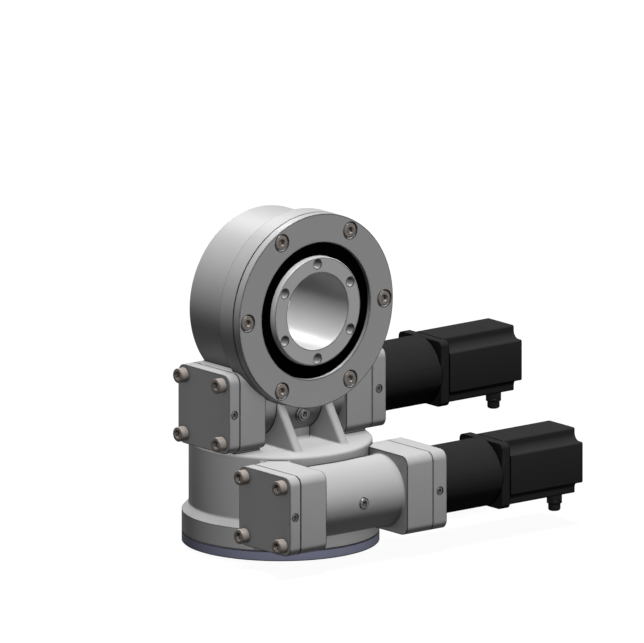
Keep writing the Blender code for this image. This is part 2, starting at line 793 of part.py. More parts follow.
def motor_adapter(drive, parent, material):
    """The thick plate that carries the gear motor, with its screws sunk under the gearbox."""
    name = drive.name + "_adapter"
    face = BLOCK_END + SEAT_GAP
    plate = prism(name, rounded_square(BLOCK_HALF, BLOCK_CORNER), face, ADAPTER_END)
    adapter = place(name, plate, parent)
    spigot = turned("spigot", [(SPIGOT_RADIUS, BLOCK_END - SPIGOT_LENGTH),
                               (SPIGOT_RADIUS, face + WELD_DEPTH)], SMALL_SIDES)
    join(adapter, place(name + "_spigot", spigot, parent))
    bore = turned("bore", [(ADAPTER_BORE_RADIUS, BLOCK_END - SPIGOT_LENGTH - CUT_OVERRUN),
                           (ADAPTER_BORE_RADIUS, ADAPTER_END + CUT_OVERRUN)], SMALL_SIDES)
    cut(adapter, place(name + "_bore", bore, parent))
    hole = SCREW_SHANK_RADIUS + HOLE_GAP
    seat = ADAPTER_END - SCREW_HEAD_HEIGHT - SEAT_GAP
    stepped = [(hole, face - CUT_OVERRUN), (hole, seat), (ADAPTER_COUNTERBORE_RADIUS, seat),
               (ADAPTER_COUNTERBORE_RADIUS, ADAPTER_END + CUT_OVERRUN)]
    holes = pins("holes", square_places(CAP_SCREW_SPACING), stepped, HOLE_SIDES)
    cut(adapter, place(name + "_holes", holes, parent))
    cut(adapter, plug_pocket(drive, name, (face + ADAPTER_END) / 2.0, parent))
    return smooth(adapter, material)


def side_frame(drive, name, along, parent):
    """An empty on the outer side of a worm housing, its Z pointing out of it.

    That side faces the viewer on both drives: the azimuth worm's far side, the elevation
    worm's output side.
    """
    if drive.open_back:
        return frame_empty(name, parent, (-BLOCK_HALF, 0.0, along), (0.0, -math.pi / 2.0, 0.0))
    return frame_empty(name, parent, (0.0, BLOCK_HALF, along), (-math.pi / 2.0, 0.0, 0.0))


def plug_pocket(drive, name, along, parent):
    """The small round pocket for a plug in the side of a plate."""
    carrier = side_frame(drive, name + "_plug_frame", along, parent)
    radius = PLUG_RADIUS + SEAT_GAP
    pocket = turned("pocket", [(radius, -PLUG_DEPTH - SEAT_GAP), (radius, CUT_OVERRUN)],
                    PLUG_SIDES)
    return place(name + "_plug_pocket", pocket, carrier)


def side_plug(drive, place_name, along, parent, material):
    """A small socket plug, flush in the side of a plate."""
    name = drive.name + "_" + place_name + "_plug"
    carrier = side_frame(drive, name + "_frame", along, parent)
    plug = turned(name, [(PLUG_RADIUS, -PLUG_DEPTH), (PLUG_RADIUS, -SEAT_GAP)], PLUG_SIDES)
    return smooth(place(name, plug, carrier), material)


def gearbox(drive, parent, material):
    """The round planetary gearbox with its square motor plate and spigot."""
    name = drive.name + "_gearbox"
    front = ADAPTER_END + SEAT_GAP
    spigot = ADAPTER_BORE_RADIUS - SEAT_GAP
    outline = [
        (spigot, front - GEARBOX_SPIGOT),
        (spigot, front),
        (GEARBOX_RADIUS - MOTOR_CHAMFER, front),
        (GEARBOX_RADIUS, front + MOTOR_CHAMFER),
        (GEARBOX_RADIUS, GEARBOX_END + WELD_DEPTH),
    ]
    body = place(name, turned(name, outline, TUBE_SIDES), parent)
    plate = prism("plate", rounded_square(MOTOR_HALF, MOTOR_PLATE_CORNER), GEARBOX_END,
                  MOTOR_PLATE_END)
    join(body, place(name + "_plate", plate, parent))
    socket = DRIVE_SHAFT_RADIUS + RUN_GAP
    bore = turned("bore", [(socket, front - GEARBOX_SPIGOT - CUT_OVERRUN),
                           (socket, DRIVE_SHAFT_END + SEAT_GAP)], THREAD_STEPS)
    cut(body, place(name + "_bore", bore, parent))
    return smooth(body, material)


def motor(drive, parent, material):
    """The motor body with its hollowed corners."""
    name = drive.name + "_motor"
    front = MOTOR_PLATE_END + SEAT_GAP
    outline = notched_square(MOTOR_HALF, MOTOR_NOTCH, MOTOR_NOTCH_LIP)
    body = prism(name, outline, front, MOTOR_END)
    return smooth(place(name, body, parent), material)


def connector(drive, parent, material):
    """The round cable connector that points down under the motor's rear."""
    name = drive.name + "_connector"
    if drive.open_back:
        carrier = frame_empty(name + "_frame", parent, (0.0, -MOTOR_HALF, CONNECTOR_PLACE),
                              (math.pi / 2.0, 0.0, 0.0))
    else:
        carrier = frame_empty(name + "_frame", parent, (-MOTOR_HALF, 0.0, CONNECTOR_PLACE),
                              (0.0, -math.pi / 2.0, 0.0))
    outline = [
        (CONNECTOR_COLLAR_RADIUS, SEAT_GAP),
        (CONNECTOR_COLLAR_RADIUS, CONNECTOR_COLLAR_HEIGHT),
        (CONNECTOR_RADIUS, CONNECTOR_COLLAR_HEIGHT),
        (CONNECTOR_RADIUS, CONNECTOR_LENGTH),
        (CONNECTOR_RADIUS - CONNECTOR_WALL, CONNECTOR_LENGTH),
        (CONNECTOR_RADIUS - CONNECTOR_WALL, CONNECTOR_LENGTH - CONNECTOR_PIN_DEPTH),
    ]
    return smooth(place(name, turned(name, outline, TUBE_SIDES // 2), carrier), material)


def cap_screw(name, parent, place_xy, seat, direction, head, length, material):
    """A socket head cap screw whose head rests at seat and whose shank runs inwards."""
    outline = [
        (SCREW_SHANK_RADIUS, seat - direction * length),
        (SCREW_SHANK_RADIUS, seat),
        (SCREW_HEAD_RADIUS, seat),
        (SCREW_HEAD_RADIUS, seat + direction * head),
    ]
    mesh = turned(name, outline, SCREW_SIDES)
    return smooth(place(name, mesh, parent, (place_xy[0], place_xy[1], 0.0)), material)


def drive_screws(drive, drive_frame, worm_frame):
    """All cap screws of one drive."""
    for index, spot in enumerate(circle_places(COVER_SCREW_CIRCLE_RADIUS, COVER_SCREWS)):
        name = "%s_cover_screw_%d" % (drive.name, index + 1)
        cap_screw(name, drive_frame, spot, drive.setback - LOW_HEAD_HEIGHT, 1, LOW_HEAD_HEIGHT,
                  COVER_SCREW_LENGTH, screw_steel(name))
    for index, spot in enumerate(square_places(CAP_SCREW_SPACING)):
        name = "%s_cap_screw_%d" % (drive.name, index + 1)
        cap_screw(name, worm_frame, spot, -CAP_END - SEAT_GAP, -1, SCREW_HEAD_HEIGHT,
                  CAP_SCREW_LENGTH, screw_steel(name))
    for index, spot in enumerate(square_places(CAP_SCREW_SPACING)):
        name = "%s_adapter_screw_%d" % (drive.name, index + 1)
        cap_screw(name, worm_frame, spot, ADAPTER_END - SCREW_HEAD_HEIGHT, 1, SCREW_HEAD_HEIGHT,
                  ADAPTER_SCREW_LENGTH, screw_steel(name))


def port_frame(drive, name, worm_frame):
    """An empty on the worm tube at its grease port, its Z pointing out of the tube."""
    if drive.open_back:
        return frame_empty(name, worm_frame, (-TUBE_RADIUS, -drive.port_drop, 0.0),
                           (0.0, -math.pi / 2.0, 0.0))
    return frame_empty(name, worm_frame, (0.0, TUBE_RADIUS, 0.0), (-math.pi / 2.0, 0.0, 0.0))


def grease_plug(drive, worm_frame, material):
    """The grease plug in its boss on the worm tube."""
    name = drive.name + "_grease_plug"
    carrier = port_frame(drive, name + "_frame", worm_frame)
    outline = [(PORT_RADIUS, drive.port_proud - PLUG_DEPTH),
               (PORT_RADIUS, drive.port_proud + EDGE_CHAMFER)]
    return smooth(place(name, turned(name, outline, PLUG_SIDES), carrier), material)


def drum_shape(drive, name, parent):
    """A drive's outer flange and drum, with no hollow yet, in the drive's own frame."""
    flange_back = drive.joint - FLANGE_THICKNESS
    back = -DRUM_BACK if drive.open_back else drive.height - DECK_HEIGHT
    rounding = DRUM_FILLET * FILLET_MIDDLE_SHARE
    outline = [
        (FLANGE_RADIUS, drive.joint),
        (FLANGE_RADIUS, flange_back),
        (DRUM_RADIUS + DRUM_FILLET, flange_back),
        (DRUM_RADIUS, flange_back - DRUM_FILLET),
        (DRUM_RADIUS, back + DRUM_FILLET),
        (DRUM_RADIUS - rounding, back + rounding),
        (DRUM_RADIUS - DRUM_FILLET, back),
    ]
    return place(name, turned(name, outline, DRUM_SIDES), parent)


def worm_tube_shapes(drive, worm_frame):
    """The worm tube and the two square blocks at its ends."""
    tube = turned("tube", [(TUBE_RADIUS, -TUBE_HALF_LENGTH - WELD_DEPTH),
                           (TUBE_RADIUS, TUBE_HALF_LENGTH + WELD_DEPTH)], TUBE_SIDES)
    shapes = [place(drive.name + "_tube", tube, worm_frame)]
    for side, low, high in (("end", -BLOCK_END, -TUBE_HALF_LENGTH),
                            ("motor", TUBE_HALF_LENGTH, BLOCK_END)):
        block = prism("block", rounded_square(BLOCK_HALF, BLOCK_CORNER), low, high)
        shapes.append(place(drive.name + "_block_" + side, block, worm_frame))
    return shapes


def port_boss(drive, worm_frame):
    """The small boss round a grease port."""
    carrier = port_frame(drive, drive.name + "_boss_frame", worm_frame)
    boss = turned("boss", [(PORT_BOSS_RADIUS, -PLUG_DEPTH), (PORT_BOSS_RADIUS, drive.port_proud)],
                  PLUG_SIDES + PLUG_SIDES)
    return place(drive.name + "_boss", boss, carrier)


def port_hole(drive, worm_frame):
    """The blind hole of a grease port."""
    carrier = port_frame(drive, drive.name + "_port_frame", worm_frame)
    radius = PORT_RADIUS + SEAT_GAP
    hole = turned("hole", [(radius, drive.port_proud - PLUG_DEPTH - SEAT_GAP),
                           (radius, drive.port_proud + CUT_OVERRUN)], PLUG_SIDES)
    return place(drive.name + "_port", hole, carrier)


def cavity(drive, parent):
    """The hollow for the ring: bearing bore with its ball race, then the rear journal's bore."""
    ball = drive.joint - BALL_SETBACK
    groove = BALL_CIRCLE_RADIUS + BALL_RADIUS + RUN_GAP
    floor = -WHEEL_HALF_WIDTH - RUN_GAP - RUN_GAP
    rear = drive.rear - SEAT_GAP - (CUT_OVERRUN if drive.open_back else 0.0)
    outline = [
        (BEARING_BORE_RADIUS, drive.joint + CUT_OVERRUN),
        (BEARING_BORE_RADIUS, ball + BALL_RADIUS),
        (groove, ball),
        (BEARING_BORE_RADIUS, ball - BALL_RADIUS),
        (BEARING_BORE_RADIUS, floor),
        (JOURNAL_RADIUS + RUN_GAP, floor),
        (JOURNAL_RADIUS + RUN_GAP, rear),
    ]
    return place(drive.name + "_cavity", turned("cavity", outline, DRUM_SIDES), parent)


def worm_bore(drive, worm_frame):
    """The bore for the worm, right through both blocks."""
    bore = turned("bore", [(WORM_BORE_RADIUS, -BLOCK_END - CUT_OVERRUN),
                           (WORM_BORE_RADIUS, BLOCK_END + CUT_OVERRUN)], TUBE_SIDES)
    return place(drive.name + "_worm_bore", bore, worm_frame)


def tapped_holes(drive, drive_frame, worm_frame):
    """The casting's tapped holes for the cover's, the cap's and the adapter's screws."""
    radius = SCREW_SHANK_RADIUS + HOLE_GAP
    cover_depth = drive.setback - LOW_HEAD_HEIGHT - COVER_SCREW_LENGTH - SEAT_GAP
    cover = pins("holes", circle_places(COVER_SCREW_CIRCLE_RADIUS, COVER_SCREWS),
                 [(radius, cover_depth), (radius, drive.joint + CUT_OVERRUN)], HOLE_SIDES)
    cap_depth = CAP_SCREW_LENGTH - CAP_END
    cap = pins("holes", square_places(CAP_SCREW_SPACING),
               [(radius, -BLOCK_END - CUT_OVERRUN), (radius, cap_depth)], HOLE_SIDES)
    adapter_depth = ADAPTER_END - SCREW_HEAD_HEIGHT - ADAPTER_SCREW_LENGTH - SEAT_GAP
    adapter = pins("holes", square_places(CAP_SCREW_SPACING),
                   [(radius, adapter_depth), (radius, BLOCK_END + CUT_OVERRUN)], HOLE_SIDES)
    return [place(drive.name + "_cover_holes", cover, drive_frame),
            place(drive.name + "_cap_holes", cap, worm_frame),
            place(drive.name + "_adapter_holes", adapter, worm_frame)]


def rib(name, across, direction):
    """A leaning gusset between the deck and the underside of the upper drive."""
    top = UPPER_WORM_HEIGHT + TUBE_RADIUS / 2.0
    rise = top - DECK_HEIGHT
    outline = [
        (WEB_HALF_DEPTH / 2.0, DECK_HEIGHT - WELD_DEPTH),
        (RIB_FRONT_REACH + WELD_DEPTH * RIB_LEAN_SHARE, DECK_HEIGHT - WELD_DEPTH),
        (RIB_FRONT_REACH - rise * RIB_LEAN_SHARE, top),
        (WEB_HALF_DEPTH / 2.0, top),
    ]
    bm = bmesh.new()
    half = RIB_THICKNESS / 2.0
    sides = []
    for x in (across - half, across + half):
        sides.append([bm.verts.new((x, direction * y, z)) for y, z in outline])
    bridge(bm, sides[0], sides[1])
    bm.faces.new(list(reversed(sides[0])))
    bm.faces.new(sides[1])
    edges = [bm.edges.get((side[1], side[2])) for side in sides]
    bmesh.ops.bevel(bm, geom=edges, offset=RIB_EDGE_FILLET, segments=2, profile=ROUND_SHARE,
                    affect="EDGES")
    return place(name, mesh_from(name, bm), None)


def box(name, low, high):
    """An upright block between two corners."""
    outline = [(low[0], low[1]), (high[0], low[1]), (high[0], high[1]), (low[0], high[1])]
    return place(name, prism(name, outline, low[2], high[2]), None)


def pedestal_shapes():
    """The web, the ribs and the pads that carry the upper drive on the deck."""
    foot = DECK_HEIGHT - WELD_DEPTH
    shapes = [box("web", (-RIB_PLACE, -WEB_HALF_DEPTH, foot),
                  (RIB_PLACE, WEB_HALF_DEPTH, UPPER_WORM_HEIGHT))]
    for index, across in enumerate((-RIB_PLACE, RIB_PLACE)):
        shapes.append(rib("front_rib_%d" % index, across, -1.0))
        shapes.append(rib("back_rib_%d" % index, across, 1.0))
    under = DECK_HEIGHT + PAD_RISE + WELD_DEPTH
    for index, side in enumerate((-1, 1)):
        ends = sorted((side * TUBE_HALF_LENGTH, side * (BLOCK_END - WELD_DEPTH)))
        shapes.append(box("pad_%d" % index, (ends[0], -PAD_HALF_DEPTH, foot),
                          (ends[1], PAD_HALF_DEPTH, under)))
    return shapes


def housing(frames, material):
    """The one-piece casting that both drives share."""
    body = drum_shape(AZIMUTH, "housing", frames["azimuth"][0])
    join(body, drum_shape(ELEVATION, "upper_drum", frames["elevation"][0]))
    for shape in pedestal_shapes():
        join(body, shape)
    for drive in (AZIMUTH, ELEVATION):
        worm_frame = frames[drive.name][1]
        for shape in worm_tube_shapes(drive, worm_frame):
            join(body, shape)
        join(body, port_boss(drive, worm_frame))
    for drive in (AZIMUTH, ELEVATION):
        drive_frame, worm_frame = frames[drive.name]
        cut(body, cavity(drive, drive_frame))
        cut(body, worm_bore(drive, worm_frame))
        for holes in tapped_holes(drive, drive_frame, worm_frame):
            cut(body, holes)
        cut(body, port_hole(drive, worm_frame))
    return smooth(body, material)


def drive_frames(drive):
    """The empties on a drive's ring axis and on its worm's axis."""
    drive_frame = frame_empty(drive.name + "_frame", None, (0.0, 0.0, drive.height),
                              (drive.turn, 0.0, 0.0))
    worm_frame = frame_empty(drive.name + "_worm_frame", drive_frame,
                             (0.0, drive.worm_side * CENTRE_DISTANCE, 0.0),
                             (0.0, math.pi / 2.0, 0.0))
    return drive_frame, worm_frame


def build_drive(drive, drive_frame, worm_frame):
    """Every piece of one drive except the casting."""
    output_ring(drive, drive_frame, machined_steel(drive.name + "_ring"))
    cover_plate(drive, drive_frame, cover_finish(drive))
    face_seal(drive, drive_frame, seal_rubber(drive.name + "_seal"))
    ball_row(drive, drive_frame, cage_brass(drive.name + "_balls"))
    worm_shaft(drive, worm_frame, machined_steel(drive.name + "_worm"))
    for side in (-1, 1):
        worm_bearing(drive, side, worm_frame, machined_steel(drive.name + "_bearing"))
    end_cap(drive, worm_frame, cast_iron(drive.name + "_end_cap"))
    motor_adapter(drive, worm_frame, cast_iron(drive.name + "_adapter"))
    gearbox(drive, worm_frame, black_paint(drive.name + "_gearbox"))
    motor(drive, worm_frame, black_paint(drive.name + "_motor"))
    connector(drive, worm_frame, black_paint(drive.name + "_connector"))
    face = BLOCK_END + SEAT_GAP
    side_plug(drive, "cap", -(face + CAP_END) / 2.0, worm_frame, screw_steel(drive.name + "_plug"))
    side_plug(drive, "adapter", (face + ADAPTER_END) / 2.0, worm_frame,
              screw_steel(drive.name + "_plug"))
    grease_plug(drive, worm_frame, screw_steel(drive.name + "_grease_plug"))
    drive_screws(drive, drive_frame, worm_frame)


def main():
    """Builds the whole part."""
    clear_scene()
    frames = {drive.name: drive_frames(drive) for drive in (AZIMUTH, ELEVATION)}
    housing(frames, cast_iron("housing"))
    for drive in (AZIMUTH, ELEVATION):
        build_drive(drive, *frames[drive.name])


main()
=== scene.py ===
"""The looks of a dual-axis slew drive: a ribbed iron casting, two ring drives and two gear motors.

Each drive has two frames of its own. In the ring frame +Z points out of the output face and +X
runs along the worm to the motor. In the worm frame +Z runs along the worm to the motor. Both are
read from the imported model, in metres, and each piece is modelled in one of them and then placed.
"""
import logging
import math
from collections.abc import Callable
from dataclasses import dataclass
from enum import Enum

import bmesh
import bpy
from mathutils import Matrix, Vector


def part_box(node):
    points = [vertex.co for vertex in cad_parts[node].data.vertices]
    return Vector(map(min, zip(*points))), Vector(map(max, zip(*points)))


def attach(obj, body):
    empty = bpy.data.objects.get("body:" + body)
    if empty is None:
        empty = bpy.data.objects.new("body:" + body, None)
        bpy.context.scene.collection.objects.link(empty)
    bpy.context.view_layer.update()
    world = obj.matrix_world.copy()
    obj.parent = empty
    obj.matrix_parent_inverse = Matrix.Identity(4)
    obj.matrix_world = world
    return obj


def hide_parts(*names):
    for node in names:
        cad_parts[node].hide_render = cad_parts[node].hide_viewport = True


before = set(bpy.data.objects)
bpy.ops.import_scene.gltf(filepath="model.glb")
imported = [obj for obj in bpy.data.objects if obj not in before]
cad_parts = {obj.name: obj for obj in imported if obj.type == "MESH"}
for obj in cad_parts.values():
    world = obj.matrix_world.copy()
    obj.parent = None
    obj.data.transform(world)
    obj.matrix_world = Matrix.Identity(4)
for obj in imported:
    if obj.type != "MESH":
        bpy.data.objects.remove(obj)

LOG = logging.getLogger("slew_drive")
Profile = list[tuple[float, float]]
Piece = bpy.types.Object
Edge = bmesh.types.BMEdge
Socket = bpy.types.NodeSocket


class Fit(Enum):
    """How one shape is worked into another."""

    WELD = "UNION"
    CUT = "DIFFERENCE"


class Grain(Enum):
    """The fine relief of a surface."""

    CAST = "cast"
    TURNED = "turned"
    GROUND = "ground"
    MOULDED = "moulded"


@dataclass(frozen=True)
class Facets:
    """How finely round shapes are divided."""

    drum: int = 144
    tube: int = 96
    screw: int = 32
    corner: int = 8
    hexagon: int = 6
    fillet: int = 5
    chamfer: int = 1


FACETS = Facets()
SMOOTH_ANGLE = math.radians(32.0)
CARRIER = "casting"     # the CAD body that carries both drives
WELD = 0.001            # how far two shapes of one piece reach into each other
OVERRUN = 0.002         # how far a cutter passes the face that it opens
MERGE = 0.000002        # points nearer than this are one
DRILL_TIP = 0.125       # a drill point's blunt end, as a share of its radius
HALF_TURN = math.pi
QUARTER_TURN = math.pi / 2.0


# Modelling


def deselect() -> None:
    """Leaves nothing selected."""
    bpy.ops.object.select_all(action="DESELECT")


def take(piece: Piece) -> None:
    """Makes a piece the only selected one.

    Args:
        piece: The piece to work on.
    """
    deselect()
    piece.select_set(True)
    bpy.context.view_layer.objects.active = piece


def added(name: str) -> Piece:
    """Names the primitive that was just added and puts its place into its mesh.

    Args:
        name: Its new name.

    Returns:
        The primitive.
    """
    piece = bpy.context.active_object
    piece.name = name
    piece.data.name = name
    bpy.ops.object.transform_apply(location=True, rotation=True, scale=True)
    return piece


def close_up() -> None:
    """Merges doubled points and turns all faces outwards, and leaves edit mode."""
    bpy.ops.mesh.select_all(action="SELECT")
    bpy.ops.mesh.remove_doubles(threshold=MERGE)
    bpy.ops.mesh.normals_make_consistent(inside=False)
    bpy.ops.object.mode_set(mode="OBJECT")


def lathe(name: str, profile: Profile, sides: int, ring: bool = False) -> Piece:
    """Turns a piece: a circle is extruded and resized from each station to the next.

    Args:
        name: The piece's name.
        profile: Stations as (radius, height), from one end to the other.
        sides: Divisions of the circle.
        ring: Whether the profile closes on itself and leaves a hole.

    Returns:
        The closed piece, in object mode.
    """
    deselect()
    radius, height = profile[0]
    bpy.ops.mesh.primitive_circle_add(vertices=sides, radius=radius, location=(0.0, 0.0, height),
                                      fill_type="NOTHING" if ring else "NGON")
    piece = added(name)
    bpy.ops.object.mode_set(mode="EDIT")
    bpy.ops.mesh.select_all(action="SELECT")
    for next_radius, next_height in profile[1:] + (profile[:1] if ring else []):
        move = {"value": (0.0, 0.0, next_height - height)}
        if ring:
            bpy.ops.mesh.extrude_edges_move(TRANSFORM_OT_translate=move)
        else:
            bpy.ops.mesh.extrude_region_move(TRANSFORM_OT_translate=move)
        share = next_radius / radius
        bpy.ops.transform.resize(value=(share, share, 1.0),
                                 center_override=(0.0, 0.0, next_height))
        radius, height = next_radius, next_height
    close_up()
    return piece


def rod(name: str, radius: float, low: float, high: float, sides: int = FACETS.screw) -> Piece:
    """A plain cylinder along Z, from one height to another."""
    return lathe(name, [(radius, low), (radius, high)], sides)


def stepped_hole(shank: float, head: float, low: float, seat: float, high: float) -> Piece:
    """The tool for a screw's hole with a counterbore, whose floor is the seat."""
    return lathe("hole", [(shank, low), (shank, seat), (head, seat), (head, high)], FACETS.screw)


def hexagon(flats: float, low: float, high: float, point: float) -> Piece:
    """The tool for a hexagon socket: six sides, with a drill point at the lower end.

    Args:
        flats: Width across the flats.
        low: Height of the socket's floor.
        high: Height of the tool's upper end.
        point: Depth of the drill point under the floor.

    Returns:
        The tool.
    """
    radius = flats / math.sqrt(3.0)
    profile = [(radius * DRILL_TIP, low - point), (radius, low), (radius, high)]
    return lathe("socket", profile, FACETS.hexagon)


def block(name: str, low: Vector, high: Vector) -> Piece:
    """Adds a box between two corners.

    Args:
        name: The box's name.
        low: Its lowest corner.
        high: Its highest corner.

    Returns:
        The box.
    """
    deselect()
    bpy.ops.mesh.primitive_cube_add(size=1.0, location=(low + high) / 2.0)
    bpy.context.active_object.scale = high - low
    return added(name)


def is_upright(edge: Edge) -> bool:
    """Says whether an edge runs along Z."""
    span = edge.verts[1].co - edge.verts[0].co
    return abs(abs(span.z) - span.length) < MERGE


def is_level(edge: Edge, height: float) -> bool:
    """Says whether an edge lies at a height."""
    return all(abs(point.co.z - height) < MERGE for point in edge.verts)


def round_edges(piece: Piece, chosen: Callable[[Edge], bool], radius: float,
                segments: int) -> None:
    """Bevels the chosen edges of a piece.

    Args:
        piece: The piece to shape.
        chosen: Says of an edge whether it is rounded.
        radius: The fillet's radius.
        segments: Divisions of the fillet; 1 gives a chamfer.
    """
    take(piece)
    bpy.ops.object.mode_set(mode="EDIT")
    bpy.ops.mesh.select_mode(type="EDGE")
    bpy.ops.mesh.select_all(action="DESELECT")
    mesh = bmesh.from_edit_mesh(piece.data)
    for edge in mesh.edges:
        if chosen(edge):
            edge.select = True
    mesh.select_flush_mode()
    bmesh.update_edit_mesh(piece.data)
    bpy.ops.mesh.bevel(offset=radius, segments=segments, affect="EDGES", clamp_overlap=True)
    bpy.ops.object.mode_set(mode="OBJECT")


def plate(name: str, half: float, corner: float, low: float, high: float,
          edge: float = 0.0) -> Piece:
    """Models a square plate across Z with round corners.

    Args:
        name: The piece's name.
        half: Half the plate's width.
        corner: Radius of its corners.
        low: Height of its back.
        high: Height of its front.
        edge: Chamfer round both faces, or zero for none.

    Returns:
        The plate.
    """
    piece = block(name, Vector((-half, -half, low)), Vector((half, half, high)))
    round_edges(piece, is_upright, corner, FACETS.corner)
    if edge:
        round_edges(piece, lambda e: is_level(e, high) or is_level(e, low), edge, FACETS.chamfer)
    return piece


def work(piece: Piece, tool: Piece, fit: Fit) -> None:
    """Welds a shape to a piece or cuts it away, and uses up the tool.

    Args:
        piece: The piece to change.
        tool: The shape to weld or cut with.
        fit: Which of the two is done.
    """
    take(piece)
    modifier = piece.modifiers.new(fit.name.lower(), "BOOLEAN")
    modifier.object = tool
    modifier.operation = fit.value
    modifier.solver = "EXACT"
    bpy.ops.object.modifier_apply(modifier=modifier.name)
    bpy.data.objects.remove(tool, do_unlink=True)


def moved(piece: Piece, matrix: Matrix) -> Piece:
    """Moves the mesh of a piece, whose object stays at the origin.

    Args:
        piece: The piece to move.
        matrix: Where its mesh goes.

    Returns:
        The same piece.
    """
    piece.data.transform(matrix)
    piece.data.update()
    return piece


def twin(piece: Piece, name: str, matrix: Matrix) -> Piece:
    """Copies a piece with a mesh of its own.

    Args:
        piece: The piece to copy.
        name: The copy's name.
        matrix: Where the copy's mesh goes.

    Returns:
        The copy.
    """
    copy = piece.copy()
    copy.data = piece.data.copy()
    copy.name = name
    copy.data.name = name
    bpy.context.scene.collection.objects.link(copy)
    return moved(copy, matrix)


def row_of(piece: Piece, spots: Profile) -> Piece:
    """Repeats a shape at several places and joins the copies, which don't touch.

    Args:
        piece: The shape, which is used up.
        spots: The places as (x, y).

    Returns:
        All the copies as one object.
    """
    copies = [twin(piece, "copy", Matrix.Translation((x, y, 0.0))) for x, y in spots]
    bpy.data.objects.remove(piece, do_unlink=True)
    deselect()
    for copy in copies:
        copy.select_set(True)
    bpy.context.view_layer.objects.active = copies[0]
    bpy.ops.object.join()
    return copies[0]


def on_circle(radius: float, count: int, start: float) -> Profile:
    """Places spread evenly round a circle.

    Args:
        radius: The circle's radius.
        count: How many places.
        start: Angle of the first one.

    Returns:
        The places as (x, y).
    """
    step = 2.0 * math.pi / count
    return [(radius * math.cos(start + step * i), radius * math.sin(start + step * i))
            for i in range(count)]


def on_square(half: float) -> Profile:
    """The four corners of a square."""
    return [(half, half), (-half, half), (-half, -half), (half, -half)]


def fillet(centre: tuple[float, float], radius: float, start: float, end: float) -> Profile:
    """Stations of a round fillet in a profile.

    Args:
        centre: The fillet's centre as (radius, height).
        radius: The fillet's radius.
        start: Angle of its first station, from the outward direction.
        end: Angle of its last station.

    Returns:
        The stations, both ends included.
    """
    steps = FACETS.fillet
    return [(centre[0] + radius * math.cos(start + (end - start) * i / steps),
             centre[1] + radius * math.sin(start + (end - start) * i / steps))
            for i in range(steps + 1)]


def facing(direction: Vector, place: Vector) -> Matrix:
    """A frame at a place whose Z points in a direction."""
    return Matrix.Translation(place) @ direction.to_track_quat("Z", "Y").to_matrix().to_4x4()


def local_box(matrix: Matrix, node: str) -> tuple[Vector, Vector]:
    """Reads a CAD node's box in a frame.

    Args:
        matrix: The frame, turned against the world by right angles only.
        node: The node's name.

    Returns:
        The box's lowest and highest corners in that frame.
    """
    corners = [matrix.inverted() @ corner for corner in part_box(node)]
    low = Vector(min(c[i] for c in corners) for i in range(3))
    high = Vector(max(c[i] for c in corners) for i in range(3))
    return low, high


# Finishes


@dataclass
class Nodes:
    """Adds nodes to a tree and links them."""

    tree: bpy.types.NodeTree

    def add(self, kind: str, **settings: object) -> bpy.types.Node:
        """Adds a node.

        Args:
            kind: The node's type.
            settings: Its properties by name.

        Returns:
            The node.
        """
        node = self.tree.nodes.new(kind)
        for key, value in settings.items():
            setattr(node, key, value)
        return node

    def link(self, start: Socket, end: Socket) -> None:
        """Links two sockets."""
        self.tree.links.new(start, end)

    def maths(self, operation: str, *values: Socket | float) -> Socket:
        """Adds a Math node.

        Args:
            operation: What it works out.
            values: Its inputs, as sockets or numbers.

        Returns:
            Its result.
        """
        node = self.add("ShaderNodeMath", operation=operation)
        for socket, value in zip(node.inputs, values):
            if isinstance(value, Socket):
                self.link(value, socket)
            else:
                socket.default_value = value
        return node.outputs[0]

    def spread(self, value: Socket, low: float, high: float, to_low: float,
               to_high: float) -> Socket:
        """Maps a value from one range to another, held at its ends.

        Args:
            value: The value to map.
            low: Start of the range that it comes from.
            high: End of that range.
            to_low: Start of the range that it goes to.
            to_high: End of that range.

        Returns:
            The mapped value.
        """
        node = self.add("ShaderNodeMapRange", clamp=True)
        for key, number in (("From Min", low), ("From Max", high), ("To Min", to_low),
                            ("To Max", to_high)):
            node.inputs[key].default_value = number
        self.link(value, node.inputs["Value"])
        return node.outputs["Result"]

    def noise(self, vector: Socket, scale: float, detail: float) -> Socket:
        """Adds a noise.

        Args:
            vector: Where it is looked up.
            scale: Its waves in a metre.
            detail: Its octaves.

        Returns:
            Its value.
        """
        node = self.add("ShaderNodeTexNoise")
        node.inputs["Scale"].default_value = scale
        node.inputs["Detail"].default_value = detail
        self.link(vector, node.inputs["Vector"])
        return node.outputs["Fac"]


def new_group(name: str, inputs: dict[str, str], outputs: dict[str, str]) -> tuple[
        bpy.types.NodeTree, Nodes, bpy.types.Node, bpy.types.Node]:
    """Starts a node group with its sockets.

    Args:
        name: The group's name.
        inputs: Socket types by input name.
        outputs: Socket types by output name.

    Returns:
        The group, its builder, its input node and its output node.
    """
    tree = bpy.data.node_groups.new(name, "ShaderNodeTree")
    for socket, kind in inputs.items():
        tree.interface.new_socket(socket, in_out="INPUT", socket_type=kind)
    for socket, kind in outputs.items():
        tree.interface.new_socket(socket, in_out="OUTPUT", socket_type=kind)
    nodes = Nodes(tree)
    return tree, nodes, nodes.add("NodeGroupInput"), nodes.add("NodeGroupOutput")


